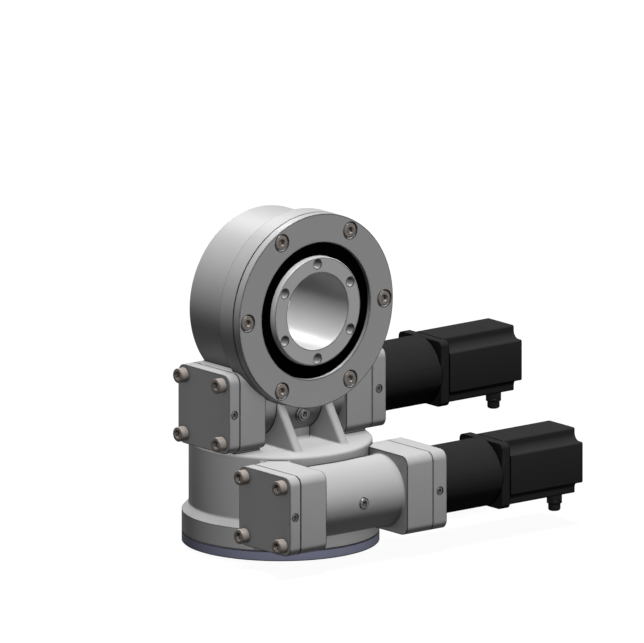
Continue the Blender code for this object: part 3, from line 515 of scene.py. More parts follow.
@dataclass(frozen=True)
class EdgeLineAndShade:
    """A dark hairline painted along sharp edges, standing for the shade of edges and creases, and
    painted shade darkening holes and corners.
    """

    reach: float = 0.0018
    turn_start: float = 0.985
    turn_full: float = 0.96
    hole_depth: float = 0.012
    open_sky: float = 0.8
    hole_shade_tone: float = 0.3
    samples: int = 8

    def group(self) -> bpy.types.NodeTree:
        """Builds the node group.

        Returns:
            The group: Line is 1 on a sharp edge, where the painted hairline goes; Shade, the
                painted shade, is under 1 inside a hole.
        """
        sockets = {"Line": "NodeSocketFloat", "Shade": "NodeSocketFloat"}
        tree, nodes, _, result = new_group("painted_edge_line_and_shade", {}, sockets)
        # Painted hairline: the colour darkens where the normals round an edge turn away.
        bevel = nodes.add("ShaderNodeBevel", samples=self.samples)
        bevel.inputs["Radius"].default_value = self.reach
        surface = nodes.add("ShaderNodeNewGeometry")
        turn = nodes.add("ShaderNodeVectorMath", operation="DOT_PRODUCT")
        nodes.link(bevel.outputs["Normal"], turn.inputs[0])
        nodes.link(surface.outputs["Normal"], turn.inputs[1])
        line = nodes.spread(turn.outputs["Value"], self.turn_full, self.turn_start, 1.0, 0.0)
        nodes.link(line, result.inputs["Line"])
        # Painted shade: ambient occlusion darkens the colour in holes and corners.
        sky = nodes.add("ShaderNodeAmbientOcclusion", samples=self.samples)
        sky.inputs["Distance"].default_value = self.hole_depth
        shade = nodes.spread(sky.outputs["AO"], 0.0, self.open_sky, self.hole_shade_tone, 1.0)
        nodes.link(shade, result.inputs["Shade"])
        return tree


@dataclass(frozen=True)
class Relief:
    """The fine relief of one grain, with soft clouds in its tone."""

    grain: Grain
    fine_scale: float
    cloud_scale: float
    fine_detail: float = 2.0
    cloud_detail: float = 3.0
    cloud_share: float = 0.0
    stretch: float = 1.0

    def group(self) -> bpy.types.NodeTree:
        """Builds the node group.

        Returns:
            The group, which gives Tone and Height from 0 to 1.
        """
        sockets = {"Tone": "NodeSocketFloat", "Height": "NodeSocketFloat"}
        tree, nodes, given, result = new_group(self.grain.value + "_relief",
                                               {"Vector": "NodeSocketVector"}, sockets)
        vector = given.outputs["Vector"]
        height = nodes.noise(self.course(nodes, vector), self.fine_scale, self.fine_detail)
        clouds = nodes.noise(vector, self.cloud_scale, self.cloud_detail)
        if self.cloud_share:
            height = nodes.maths("ADD", nodes.maths("MULTIPLY", height, 1.0 - self.cloud_share),
                                 nodes.maths("MULTIPLY", clouds, self.cloud_share))
        nodes.link(clouds, result.inputs["Tone"])
        nodes.link(height, result.inputs["Height"])
        return tree

    def course(self, nodes: Nodes, vector: Socket) -> Socket:
        """Bends the coordinates so that the marks run as the tool left them.

        Args:
            nodes: The group's builder.
            vector: The coordinates.

        Returns:
            Coordinates for rings about Z, for lines along Z, or the same ones.
        """
        if self.grain is Grain.TURNED:
            parts = nodes.add("ShaderNodeSeparateXYZ")
            nodes.link(vector, parts.inputs["Vector"])
            squares = [nodes.maths("MULTIPLY", parts.outputs[i], parts.outputs[i])
                       for i in (0, 1)]
            along = nodes.add("ShaderNodeCombineXYZ")
            nodes.link(nodes.maths("SQRT", nodes.maths("ADD", *squares)), along.inputs["X"])
            nodes.link(parts.outputs["Z"], along.inputs["Y"])
            return along.outputs["Vector"]
        if self.grain is Grain.GROUND:
            lines = nodes.add("ShaderNodeMapping")
            lines.inputs["Scale"].default_value = (1.0, 1.0, self.stretch)
            nodes.link(vector, lines.inputs["Vector"])
            return lines.outputs["Vector"]
        return vector


@dataclass(frozen=True)
class Finish:
    """One surface finish, with its relief, its clouded tone, its painted dark edge hairlines and
    painted shade in holes and corners.
    """

    name: str
    colour: tuple[float, float, float]
    roughness: float
    relief: Relief
    metallic: float = 0.0
    specular: float = 0.5
    roughness_spread: float = 0.06
    tone_spread: float = 0.015
    tone_low: float = 0.3
    tone_high: float = 0.7
    bump: float = 0.1
    relief_depth: float = 0.00005
    line_tone: float = 0.04
    bounce: float = 0.3

    def scaled(self, share: float) -> tuple[float, ...]:
        """The finish's colour, darker or lighter, with its alpha."""
        return (*(part * share for part in self.colour), 1.0)

    def material(self, axis: Matrix | None = None) -> bpy.types.Material:
        """Builds the material.

        Args:
            axis: The frame whose Z the turning or grinding marks follow, or none where the
                piece's own will do.

        Returns:
            The material.
        """
        material = bpy.data.materials.new(self.name)
        material.use_nodes = True
        nodes = Nodes(material.node_tree)
        shader = material.node_tree.nodes["Principled BSDF"]
        place = nodes.add("ShaderNodeTexCoord").outputs["Object"]
        if axis is not None:
            place = self.along(nodes, place, axis)
        relief = nodes.add("ShaderNodeGroup", node_tree=Workshop.group(self.relief))
        nodes.link(place, relief.inputs["Vector"])
        nodes.link(self.tone(nodes, relief.outputs["Tone"]), shader.inputs["Base Color"])
        rough = nodes.spread(relief.outputs["Height"], 0.0, 1.0,
                             self.roughness - self.roughness_spread,
                             self.roughness + self.roughness_spread)
        nodes.link(rough, shader.inputs["Roughness"])
        bump = nodes.add("ShaderNodeBump")
        bump.inputs["Strength"].default_value = self.bump
        bump.inputs["Distance"].default_value = self.relief_depth
        nodes.link(relief.outputs["Height"], bump.inputs["Height"])
        nodes.link(bump.outputs["Normal"], shader.inputs["Normal"])
        shader.inputs["Metallic"].default_value = self.metallic
        shader.inputs["Specular IOR Level"].default_value = self.specular
        return material

    @staticmethod
    def along(nodes: Nodes, place: Socket, axis: Matrix) -> Socket:
        """Turns object coordinates into those of a frame.

        Args:
            nodes: The material's builder.
            place: The object coordinates.
            axis: The frame.

        Returns:
            The coordinates in that frame.
        """
        mapping = nodes.add("ShaderNodeMapping")
        inverse = axis.inverted()
        mapping.inputs["Location"].default_value = inverse.to_translation()
        mapping.inputs["Rotation"].default_value = inverse.to_euler()
        nodes.link(place, mapping.inputs["Vector"])
        return mapping.outputs["Vector"]

    def tone(self, nodes: Nodes, clouds: Socket) -> Socket:
        """Works out the colour: clouded, with a painted dark hairline on edges, painted shade in
        holes and corners, and dim where light bounces.

        Args:
            nodes: The material's builder.
            clouds: The relief's tone.

        Returns:
            The base colour.
        """
        # Painted marks: a dark hairline along edges, and shade in holes and corners.
        edge_and_shade = nodes.add("ShaderNodeGroup", node_tree=Workshop.group(Workshop.EDGE_LINE_AND_SHADE))
        ramp = nodes.add("ShaderNodeValToRGB")
        for stop, place, share in zip(ramp.color_ramp.elements, (self.tone_low, self.tone_high),
                                      (1.0 - self.tone_spread, 1.0 + self.tone_spread)):
            stop.position = place
            stop.color = self.scaled(share)
        nodes.link(clouds, ramp.inputs["Fac"])
        # The painted dark hairline along edges.
        edged = nodes.add("ShaderNodeMix", data_type="RGBA")
        nodes.link(edge_and_shade.outputs["Line"], edged.inputs["Factor"])
        nodes.link(ramp.outputs["Color"], edged.inputs["A"])
        edged.inputs["B"].default_value = self.scaled(self.line_tone)
        bounced = nodes.add("ShaderNodeLightPath").outputs["Is Diffuse Ray"]
        given_back = nodes.spread(bounced, 0.0, 1.0, 1.0, self.bounce)
        held = nodes.add("ShaderNodeVectorMath", operation="SCALE")
        nodes.link(edged.outputs["Result"], held.inputs["Vector"])
        # The painted shade of holes and corners darkens the colour.
        nodes.link(nodes.maths("MULTIPLY", edge_and_shade.outputs["Shade"], given_back),
                   held.inputs["Scale"])
        return held.outputs["Vector"]


class Workshop:
    """The finishes of this drive, and the node groups that they share."""

    # Painted dark edge hairlines and painted shade in holes, shared by all finishes.
    EDGE_LINE_AND_SHADE = EdgeLineAndShade()
    CAST = Relief(Grain.CAST, 900.0, 38.0, fine_detail=3.0, cloud_detail=4.0, cloud_share=0.3)
    TURNED = Relief(Grain.TURNED, 4200.0, 45.0)
    GROUND = Relief(Grain.GROUND, 3200.0, 55.0, stretch=0.04)
    MOULDED = Relief(Grain.MOULDED, 2400.0, 60.0)

    CASTING = Finish("casting_paint", (0.41, 0.41, 0.412), 0.5, CAST, specular=0.2)
    PLATE = Finish("milled_plate", (0.41, 0.41, 0.412), 0.46, GROUND, specular=0.2)
    COVER = Finish("turned_cover", (0.4, 0.4, 0.402), 0.46, TURNED, specular=0.2)
    BASE_COVER = Finish("blue_grey_cover", (0.25, 0.26, 0.36), 0.46, TURNED, specular=0.2)
    RING = Finish("turned_ring", (0.53, 0.53, 0.535), 0.4, TURNED)
    WORM = Finish("ground_worm", (0.5, 0.5, 0.52), 0.28, TURNED, metallic=0.9)
    BEARING = Finish("polished_bearing", (0.6, 0.6, 0.62), 0.16, TURNED, metallic=1.0)
    CAGE = Finish("brass_cage", (0.62, 0.48, 0.24), 0.35, GROUND, metallic=0.9)
    SCREW = Finish("alloy_screw", (0.36, 0.32, 0.29), 0.42, TURNED, metallic=0.2, specular=0.45)
    PLUG = Finish("zinc_plug", (0.42, 0.42, 0.42), 0.4, TURNED, metallic=0.2)
    SEAL = Finish("seal_rubber", (0.001, 0.001, 0.001), 0.85, MOULDED, specular=0.0)
    MOTOR = Finish("motor_paint", (0.0255, 0.0255, 0.026), 0.6, MOULDED, specular=0.0)
    GEARBOX = Finish("gearbox_paint", (0.023, 0.023, 0.0235), 0.6, MOULDED, specular=0.0)
    CONNECTOR = Finish("connector_plastic", (0.02, 0.02, 0.0205), 0.5, MOULDED, specular=0.15)

    groups: dict[Relief | EdgeLineAndShade, bpy.types.NodeTree] = {}

    @classmethod
    def group(cls, effect: Relief | EdgeLineAndShade) -> bpy.types.NodeTree:
        """Gives the node group that all materials with an effect share.

        Args:
            effect: The effect.

        Returns:
            Its group, built when it is first asked for.
        """
        if effect not in cls.groups:
            cls.groups[effect] = effect.group()
        return cls.groups[effect]


def dress(piece: Piece, material: bpy.types.Material) -> None:
    """Gives a piece one material all over."""
    piece.data.materials.clear()
    piece.data.materials.append(material)


def hand_over(piece: Piece, body: str, material: bpy.types.Material,
              node: str) -> None:
    """Finishes a piece: shading, material, body and the CAD node that it stands for.

    Args:
        piece: The modelled piece, in place.
        body: The CAD body that carries it.
        material: Its finish.
        node: The CAD node that it replaces.
    """
    take(piece)
    bpy.ops.object.shade_smooth_by_angle(angle=SMOOTH_ANGLE)
    dress(piece, material)
    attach(piece, body)
    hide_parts(node)
    LOG.info("%s: %d faces, rides on %s", piece.name, len(piece.data.polygons), body)


# Where the two drives lie


@dataclass(frozen=True)
class Drive:
    """One drive's name, frames and bodies."""

    name: str
    ring: Matrix
    worm: Matrix
    upright: bool
    ring_body: str

    @classmethod
    def read(cls, name: str, upright: bool, ring_body: str) -> "Drive":
        """Reads a drive's frames from its cover plate and its worm.

        Args:
            name: The drive's name in the CAD nodes.
            upright: Whether its ring stands upright, facing -Y, or lies facing down.
            ring_body: The CAD body of its ring.

        Returns:
            The drive.
        """
        cover_low, cover_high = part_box(name + "_cover")
        worm_low, worm_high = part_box(name + "_worm")
        cover = (cover_low + cover_high) / 2.0
        worm = (worm_low + worm_high) / 2.0
        if upright:
            centre = Vector((cover.x, worm.y, cover.z))
            turn = Matrix.Rotation(QUARTER_TURN, 4, "X")
        else:
            centre = Vector((cover.x, cover.y, worm.z))
            turn = Matrix.Rotation(HALF_TURN, 4, "X")
        start = Vector((cover.x, worm.y, worm.z))
        ring = Matrix.Translation(centre) @ turn
        along = Matrix.Translation(start) @ turn @ Matrix.Rotation(QUARTER_TURN, 4, "Y")
        return cls(name, ring, along, upright, ring_body)

    def node(self, kind: str) -> str:
        """The name of one of this drive's CAD nodes."""
        return self.name + "_" + kind

    def span(self, kind: str) -> tuple[Vector, Vector]:
        """A node's box in the ring frame."""
        return local_box(self.ring, self.node(kind))

    def worm_span(self, kind: str) -> tuple[Vector, Vector]:
        """A node's box in the worm frame."""
        return local_box(self.worm, self.node(kind))

    def outward(self) -> Vector:
        """Direction of the worm housing's plugs, in the worm frame."""
        return Vector((-1.0, 0.0, 0.0)) if self.upright else Vector((0.0, 1.0, 0.0))

    def downward(self) -> Vector:
        """Direction of the motor's connector, in the worm frame."""
        return Vector((0.0, -1.0, 0.0)) if self.upright else Vector((-1.0, 0.0, 0.0))

    def along(self, kind: str, direction: Vector) -> tuple[Vector, float]:
        """Measures a node along a direction of the worm frame.

        Args:
            kind: The node's name without the drive's.
            direction: The direction, along one of the frame's axes.

        Returns:
            The node's middle, and its length in that direction.
        """
        low, high = self.worm_span(kind)
        return (low + high) / 2.0, (high - low).dot(Vector(abs(part) for part in direction))

    def plug(self, kind: str) -> tuple[Matrix, float, float]:
        """Measures one of the worm housing's plugs.

        Args:
            kind: The plug's name without the drive's.

        Returns:
            A frame on its outer face, in the worm frame, its depth and its radius.
        """
        low, high = self.worm_span(kind)
        out = self.outward()
        middle, depth = self.along(kind, out)
        return facing(out, middle + out * depth / 2.0), depth, (high.z - low.z) / 2.0

    def screws(self, kind: str) -> list[str]:
        """The CAD nodes of one set of screws."""
        start = self.node(kind) + "_"
        return sorted(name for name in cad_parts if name.startswith(start))

    def spots(self, matrix: Matrix, kind: str) -> Profile:
        """Reads where the screws of one set stand.

        Args:
            matrix: The frame whose Z they lie along.
            kind: The set's name without the drive's.

        Returns:
            Their places across that Z, as (x, y).
        """
        boxes = [local_box(matrix, node) for node in self.screws(kind)]
        return [((low.x + high.x) / 2.0, (low.y + high.y) / 2.0) for low, high in boxes]

    def hand_over(self, piece: Piece, kind: str, matrix: Matrix, slot: str, finish: Finish,
                  body: str = CARRIER) -> None:
        """Places a piece and hands it over for one of this drive's nodes.

        Args:
            piece: The piece, in its own frame.
            kind: The name of the node that it replaces, without the drive's.
            matrix: Its frame, whose Z its marks follow.
            finish: Its finish.
            body: The CAD body that carries it.
        """
        hand_over(moved(piece, matrix), body, finish.material(matrix), self.node(kind))


# The casting


@dataclass
class Casting:
    """The one-piece casting that carries both drives."""

    lower: Drive
    upper: Drive
    flange_thickness: float = 0.0186
    flange_step: float = 0.006
    slope_rise: float = 0.0063
    slope_fillet: float = 0.0033
    drum_fillet: float = 0.0022
    seat_gap: float = 0.0003
    bearing_bore: float = 0.0652
    journal_bore: float = 0.0463
    wheel_floor: float = -0.0086
    upper_drum_back: float = 0.0282
    deck_rise: float = 0.0385
    tube_radius: float = 0.031
    tube_half_length: float = 0.045
    tube_fillet: float = 0.0016
    block_end: float = 0.0735
    block_half: float = 0.035
    block_corner: float = 0.008
    worm_bore: float = 0.025
    port_radius: float = 0.0048
    port_boss_radius: float = 0.0065
    port_depth: float = 0.0053
    plug_proud: float = 0.0006
    rib_place: float = 0.0254
    rib_thickness: float = 0.0086
    rib_reach: float = 0.0585
    rib_lean: float = 0.66
    rib_fillet: float = 0.0029
    foot_fillet: float = 0.002
    web_half_depth: float = 0.014
    pad_half_depth: float = 0.027
    shank_hole: float = 0.0044
    cover_hole_depth: float = 0.0116
    cap_hole_depth: float = 0.0124

    def deck(self) -> float:
        """Height of the deck."""
        return self.lower.ring.translation.z + self.deck_rise

    def build(self) -> None:
        """Models the casting, which replaces the CAD housing."""
        body = self.drum(self.lower, -self.deck_rise)
        work(body, self.drum(self.upper, -self.upper_drum_back), Fit.WELD)
        work(body, self.pedestal(), Fit.WELD)
        for drive in (self.lower, self.upper):
            for shape in self.worm_housing(drive):
                work(body, shape, Fit.WELD)
        for drive in (self.lower, self.upper):
            for tool in self.cutters(drive):
                work(body, tool, Fit.CUT)
        body.name = "ribbed_casting"
        hand_over(body, CARRIER, Workshop.CASTING.material(), "housing")

    def drum(self, drive: Drive, back: float) -> Piece:
        """Models a drive's flange with its sloping back, and the drum with its round back edge.

        Args:
            drive: The drive.
            back: Height of the drum's back in the ring frame.

        Returns:
            The flange and drum as one solid shape.
        """
        low, high = drive.span("cover")
        joint = low.z - self.seat_gap
        flange = high.x
        radius = flange - self.flange_step
        ledge = joint - self.flange_thickness
        r = self.slope_fillet
        slope = math.hypot(self.flange_step, self.slope_rise)
        setback = r * (slope - self.slope_rise) / self.flange_step
        start = HALF_TURN - math.atan2(self.flange_step, self.slope_rise)
        profile = [(flange, joint), (flange, ledge)]
        profile += fillet((radius + r, ledge - self.slope_rise - setback), r, start, HALF_TURN)
        r = self.drum_fillet
        profile += fillet((radius - r, back + r), r, 0.0, -QUARTER_TURN)
        return moved(lathe(drive.name + "_drum", profile, FACETS.drum), drive.ring)

    def worm_housing(self, drive: Drive) -> list[Piece]:
        """Models the worm tube with fillets at its blocks, the blocks and the port's boss.

        Args:
            drive: The drive.

        Returns:
            The shapes to weld on.
        """
        r = self.tube_fillet
        end = self.tube_half_length
        tube = self.tube_radius
        half = fillet((tube + r, end - r), r, HALF_TURN, QUARTER_TURN) + [(tube + r, end + WELD)]
        profile = [(radius, -height) for radius, height in reversed(half)] + half
        shapes = [lathe("tube", profile, FACETS.tube)]
        for low, high in ((-self.block_end, -end), (end, self.block_end)):
            shapes.append(plate("block", self.block_half, self.block_corner, low, high))
        top = self.port_top(drive)
        if top > WELD:
            boss = rod("boss", self.port_boss_radius, -self.port_depth, top)
            shapes.append(moved(boss, self.port_frame(drive)))
        return [moved(shape, drive.worm) for shape in shapes]

    def port_frame(self, drive: Drive) -> Matrix:
        """Finds the grease port's frame in the worm frame.

        Args:
            drive: The drive.

        Returns:
            A frame on the tube's skin that points out.
        """
        out = drive.outward()
        middle, _ = drive.along("grease_plug", out)
        return facing(out, middle - out * middle.dot(out) + out * self.tube_radius)

    def port_top(self, drive: Drive) -> float:
        """Works out how far the grease port's boss stands out of the tube.

        Args:
            drive: The drive.

        Returns:
            The boss's height over the tube's skin.
        """
        low, high = drive.worm_span("grease_plug")
        out = drive.outward()
        return max(low.dot(out), high.dot(out)) - self.tube_radius - self.plug_proud

    def cutters(self, drive: Drive) -> list[Piece]:
        """Models the tools that hollow a drive's side of the casting.

        Args:
            drive: The drive.

        Returns:
            The tools, in place.
        """
        low, _ = drive.span("cover")
        joint = low.z - self.seat_gap
        ring_low, _ = drive.span("ring")
        rear = ring_low.z - self.seat_gap - (OVERRUN if drive.upright else 0.0)
        end = self.block_end
        hollow = lathe("hollow", [(self.bearing_bore, joint + OVERRUN),
                                  (self.bearing_bore, self.wheel_floor),
                                  (self.journal_bore, self.wheel_floor),
                                  (self.journal_bore, rear)], FACETS.tube)
        bore = rod("bore", self.worm_bore, -end - OVERRUN, end + OVERRUN, FACETS.tube)
        port = rod("port", self.port_radius, self.port_top(drive) - self.port_depth,
                   OVERRUN + self.port_depth)
        tools = [moved(hollow, drive.ring), moved(bore, drive.worm),
                 moved(port, drive.worm @ self.port_frame(drive))]
        for matrix, kind, start, stop in (
                (drive.ring, "cover_screw", joint - self.cover_hole_depth, joint + OVERRUN),
                (drive.worm, "cap_screw", -end - OVERRUN, self.cap_hole_depth - end),
                (drive.worm, "adapter_screw", end - self.cap_hole_depth, end + OVERRUN)):
            holes = row_of(rod("hole", self.shank_hole, start, stop), drive.spots(matrix, kind))
            tools.append(moved(holes, matrix))
        return tools

    def pedestal(self) -> Piece:
        """Models the web, the pads and the four ribs on the deck.

        Returns:
            The pedestal as one shape.
        """
        foot = self.deck() - WELD
        worm = self.upper.worm.translation.z
        under = worm - self.block_half + WELD
        web = block("web", Vector((-self.rib_place, -self.web_half_depth, foot)),
                    Vector((self.rib_place, self.web_half_depth, worm)))
        for side in (-1.0, 1.0):
            ends = sorted((side * self.tube_half_length, side * (self.block_end - WELD)))
            pad = block("pad", Vector((ends[0], -self.pad_half_depth, foot)),
                        Vector((ends[1], self.pad_half_depth, under)))
            work(web, pad, Fit.WELD)
        work(web, self.foot_strip(), Fit.WELD)
        for across in (-self.rib_place, self.rib_place):
            for direction in (-1.0, 1.0):
                work(web, self.rib(across, direction), Fit.WELD)
        return web

    def foot_strip(self) -> Piece:
        """Models the fillets between the web's two long sides and the deck.

        Returns:
            Both fillets as one shape.
        """
        r = self.foot_fillet
        foot = self.deck()
        strip = block("strip", Vector((-self.rib_place, -self.web_half_depth - r, foot - WELD)),
                      Vector((self.rib_place, self.web_half_depth + r, foot + r)))
        for side in (-1.0, 1.0):
            groove = rod("groove", r, -self.rib_place - WELD, self.rib_place + WELD, FACETS.tube)
            place = Matrix.Translation((0.0, side * (self.web_half_depth + r), foot + r))
            turned = Matrix.Rotation(QUARTER_TURN, 4, "Y")
            work(strip, moved(groove, place @ turned), Fit.CUT)
        return strip

    def rib(self, across: float, direction: float) -> Piece:
        """Models one leaning rib with round front corners and a fillet round its foot.

        Args:
            across: The rib's middle along X.
            direction: -1 for the front, 1 for the back.

        Returns:
            The rib, from the web's inside to under the worm tube.
        """
        foot = self.deck()
        top = self.upper.worm.translation.z + self.tube_radius / 2.0
        r = self.foot_fillet
        levels = [(r, foot - WELD)]
        levels += fillet((r, foot + r), r, -QUARTER_TURN, -HALF_TURN)
        levels.append((0.0, top))
        deselect()
        bpy.ops.mesh.primitive_plane_add(size=1.0)
        piece = added("rib")
        bpy.ops.object.mode_set(mode="EDIT")
        bpy.ops.mesh.select_all(action="SELECT")
        below = 0.0
        for index, (swell, height) in enumerate(levels):
            if index:
                bpy.ops.mesh.extrude_region_move(
                    TRANSFORM_OT_translate={"value": (0.0, 0.0, height - below)})
            self.set_outline(piece, across, direction, swell, height)
            below = height
        close_up()
        round_edges(piece, lambda e: self.is_front_corner(e, direction), self.rib_fillet,
                    FACETS.fillet)
        return piece

    def set_outline(self, piece: Piece, across: float, direction: float, swell: float,
                    height: float) -> None:
        """Puts the four selected points of a rib's section where the rib's outline is.

        Args:
            piece: The rib, in edit mode.
            across: The rib's middle along X.
            direction: -1 for the front, 1 for the back.
            swell: How far the foot's fillet widens the section.
            height: The section's height.
        """
        mesh = bmesh.from_edit_mesh(piece.data)
        half = self.rib_thickness / 2.0 + swell
        front = self.rib_reach - (height - self.deck()) * self.rib_lean + swell
        back = self.web_half_depth / 2.0
        chosen = [point for point in mesh.verts if point.select]
        middle_x = sum(point.co.x for point in chosen) / len(chosen)
        middle_y = sum(point.co.y for point in chosen) / len(chosen)
        for point in chosen:
            x = across + (half if point.co.x > middle_x else -half)
            ahead = (point.co.y > middle_y) == (direction > 0.0)
            y = direction * (front if ahead else back)
            point.co = Vector((x, y, height))
        bmesh.update_edit_mesh(piece.data)

    def is_front_corner(self, edge: Edge, direction: float) -> bool:
        """Says whether an edge climbs along one of a rib's two front corners."""
        rises = abs(edge.verts[0].co.z - edge.verts[1].co.z) > MERGE
        return rises and all(point.co.y * direction > self.web_half_depth for point in edge.verts)


# Fasteners and plugs


@dataclass
class CapScrew:
    """A socket head cap screw, upright, with its head's underside at height zero."""

    length: float
    head_radius: float = 0.0065
    head_height: float = 0.008
    shank_radius: float = 0.004
    flats: float = 0.006
    socket_depth: float = 0.0034
    edge: float = 0.0007
    rim: float = 0.0004
    point: float = 0.0009

    def build(self, name: str) -> Piece:
        """Models the screw: chamfered shank, head with round edges, hexagon socket.

        Args:
            name: The screw's name.

        Returns:
            The screw.
        """
        shank = self.shank_radius
        head = self.head_radius
        top = self.head_height
        profile = [(shank - self.edge, -self.length), (shank, self.edge - self.length),
                   (shank, 0.0), (head - self.rim, 0.0), (head, self.rim)]
        profile += fillet((head - self.edge, top - self.edge), self.edge, 0.0, QUARTER_TURN)
        screw = lathe(name, profile, FACETS.screw)
        socket = hexagon(self.flats, top - self.socket_depth, top + OVERRUN, self.point)
        work(screw, socket, Fit.CUT)
        mouth = self.flats / math.sqrt(3.0)
        sink = lathe("sink", [(mouth - self.edge, top - self.edge - self.rim),
                              (mouth + self.rim + OVERRUN, top + OVERRUN)], FACETS.screw)
        work(screw, sink, Fit.CUT)
        return screw


@dataclass
class Fasteners:
    """All screws and plugs of one drive."""

    drive: Drive
    low_head: float = 0.005
    low_flats: float = 0.005
    low_socket: float = 0.003
    cover_length: float = 0.016
    cap_length: float = 0.024
    adapter_length: float = 0.022
    plug_flats: float = 0.0025
    port_flats: float = 0.004
    plug_edge: float = 0.0003
    plug_socket_share: float = 0.6
    plug_point_share: float = 0.2

    def build(self) -> None:
        """Models each kind of screw once and copies it to all its places, and the plugs."""
        drive = self.drive
        low = CapScrew(self.cover_length, head_height=self.low_head, flats=self.low_flats,
                       socket_depth=self.low_socket)
        self.set_of("cover_screw", low, drive.ring, 1.0)
        self.set_of("cap_screw", CapScrew(self.cap_length), drive.worm, -1.0)
        self.set_of("adapter_screw", CapScrew(self.adapter_length), drive.worm, 1.0)
        for kind, flats in (("cap_plug", self.plug_flats), ("adapter_plug", self.plug_flats),
                            ("grease_plug", self.port_flats)):
            self.plug(kind, flats)

    def set_of(self, kind: str, screw: CapScrew, matrix: Matrix, side: float) -> None:
        """Copies one screw to each node of its set.

        Args:
            kind: The set's name in the CAD nodes.
            screw: The screw's sizes.
            matrix: The frame that the set stands in.
            side: 1 where the heads point along the frame's Z, -1 where they point back.
        """
        model = screw.build("screw_model")
        flip = Matrix.Identity(4) if side > 0.0 else Matrix.Rotation(HALF_TURN, 4, "X")
        for node, (x, y) in zip(self.drive.screws(kind), self.drive.spots(matrix, kind)):
            low, high = local_box(matrix, node)
            seat = high.z - screw.head_height if side > 0.0 else low.z + screw.head_height
            spot = matrix @ Matrix.Translation((x, y, seat))
            piece = twin(model, node + "_socket_head", spot @ flip)
            hand_over(piece, CARRIER, Workshop.SCREW.material(spot), node)
        bpy.data.objects.remove(model, do_unlink=True)

    def plug(self, kind: str, flats: float) -> None:
        """Models a flat plug with a hexagon socket, in the worm housing's outer side.

        Args:
            kind: The plug's name in the CAD nodes.
            flats: Width of its socket across the flats.
        """
        drive = self.drive
        spot, depth, radius = drive.plug(kind)
        edge = self.plug_edge
        profile = [(radius - edge, -depth), (radius, edge - depth), (radius, -edge),
                   (radius - edge, 0.0)]
        plug = lathe(drive.node(kind) + "_socket", profile, FACETS.screw)
        work(plug, hexagon(flats, -depth * self.plug_socket_share, OVERRUN,
                           flats * self.plug_point_share), Fit.CUT)
        drive.hand_over(plug, kind, drive.worm @ spot, "screw_steel", Workshop.PLUG)


# Ring drives


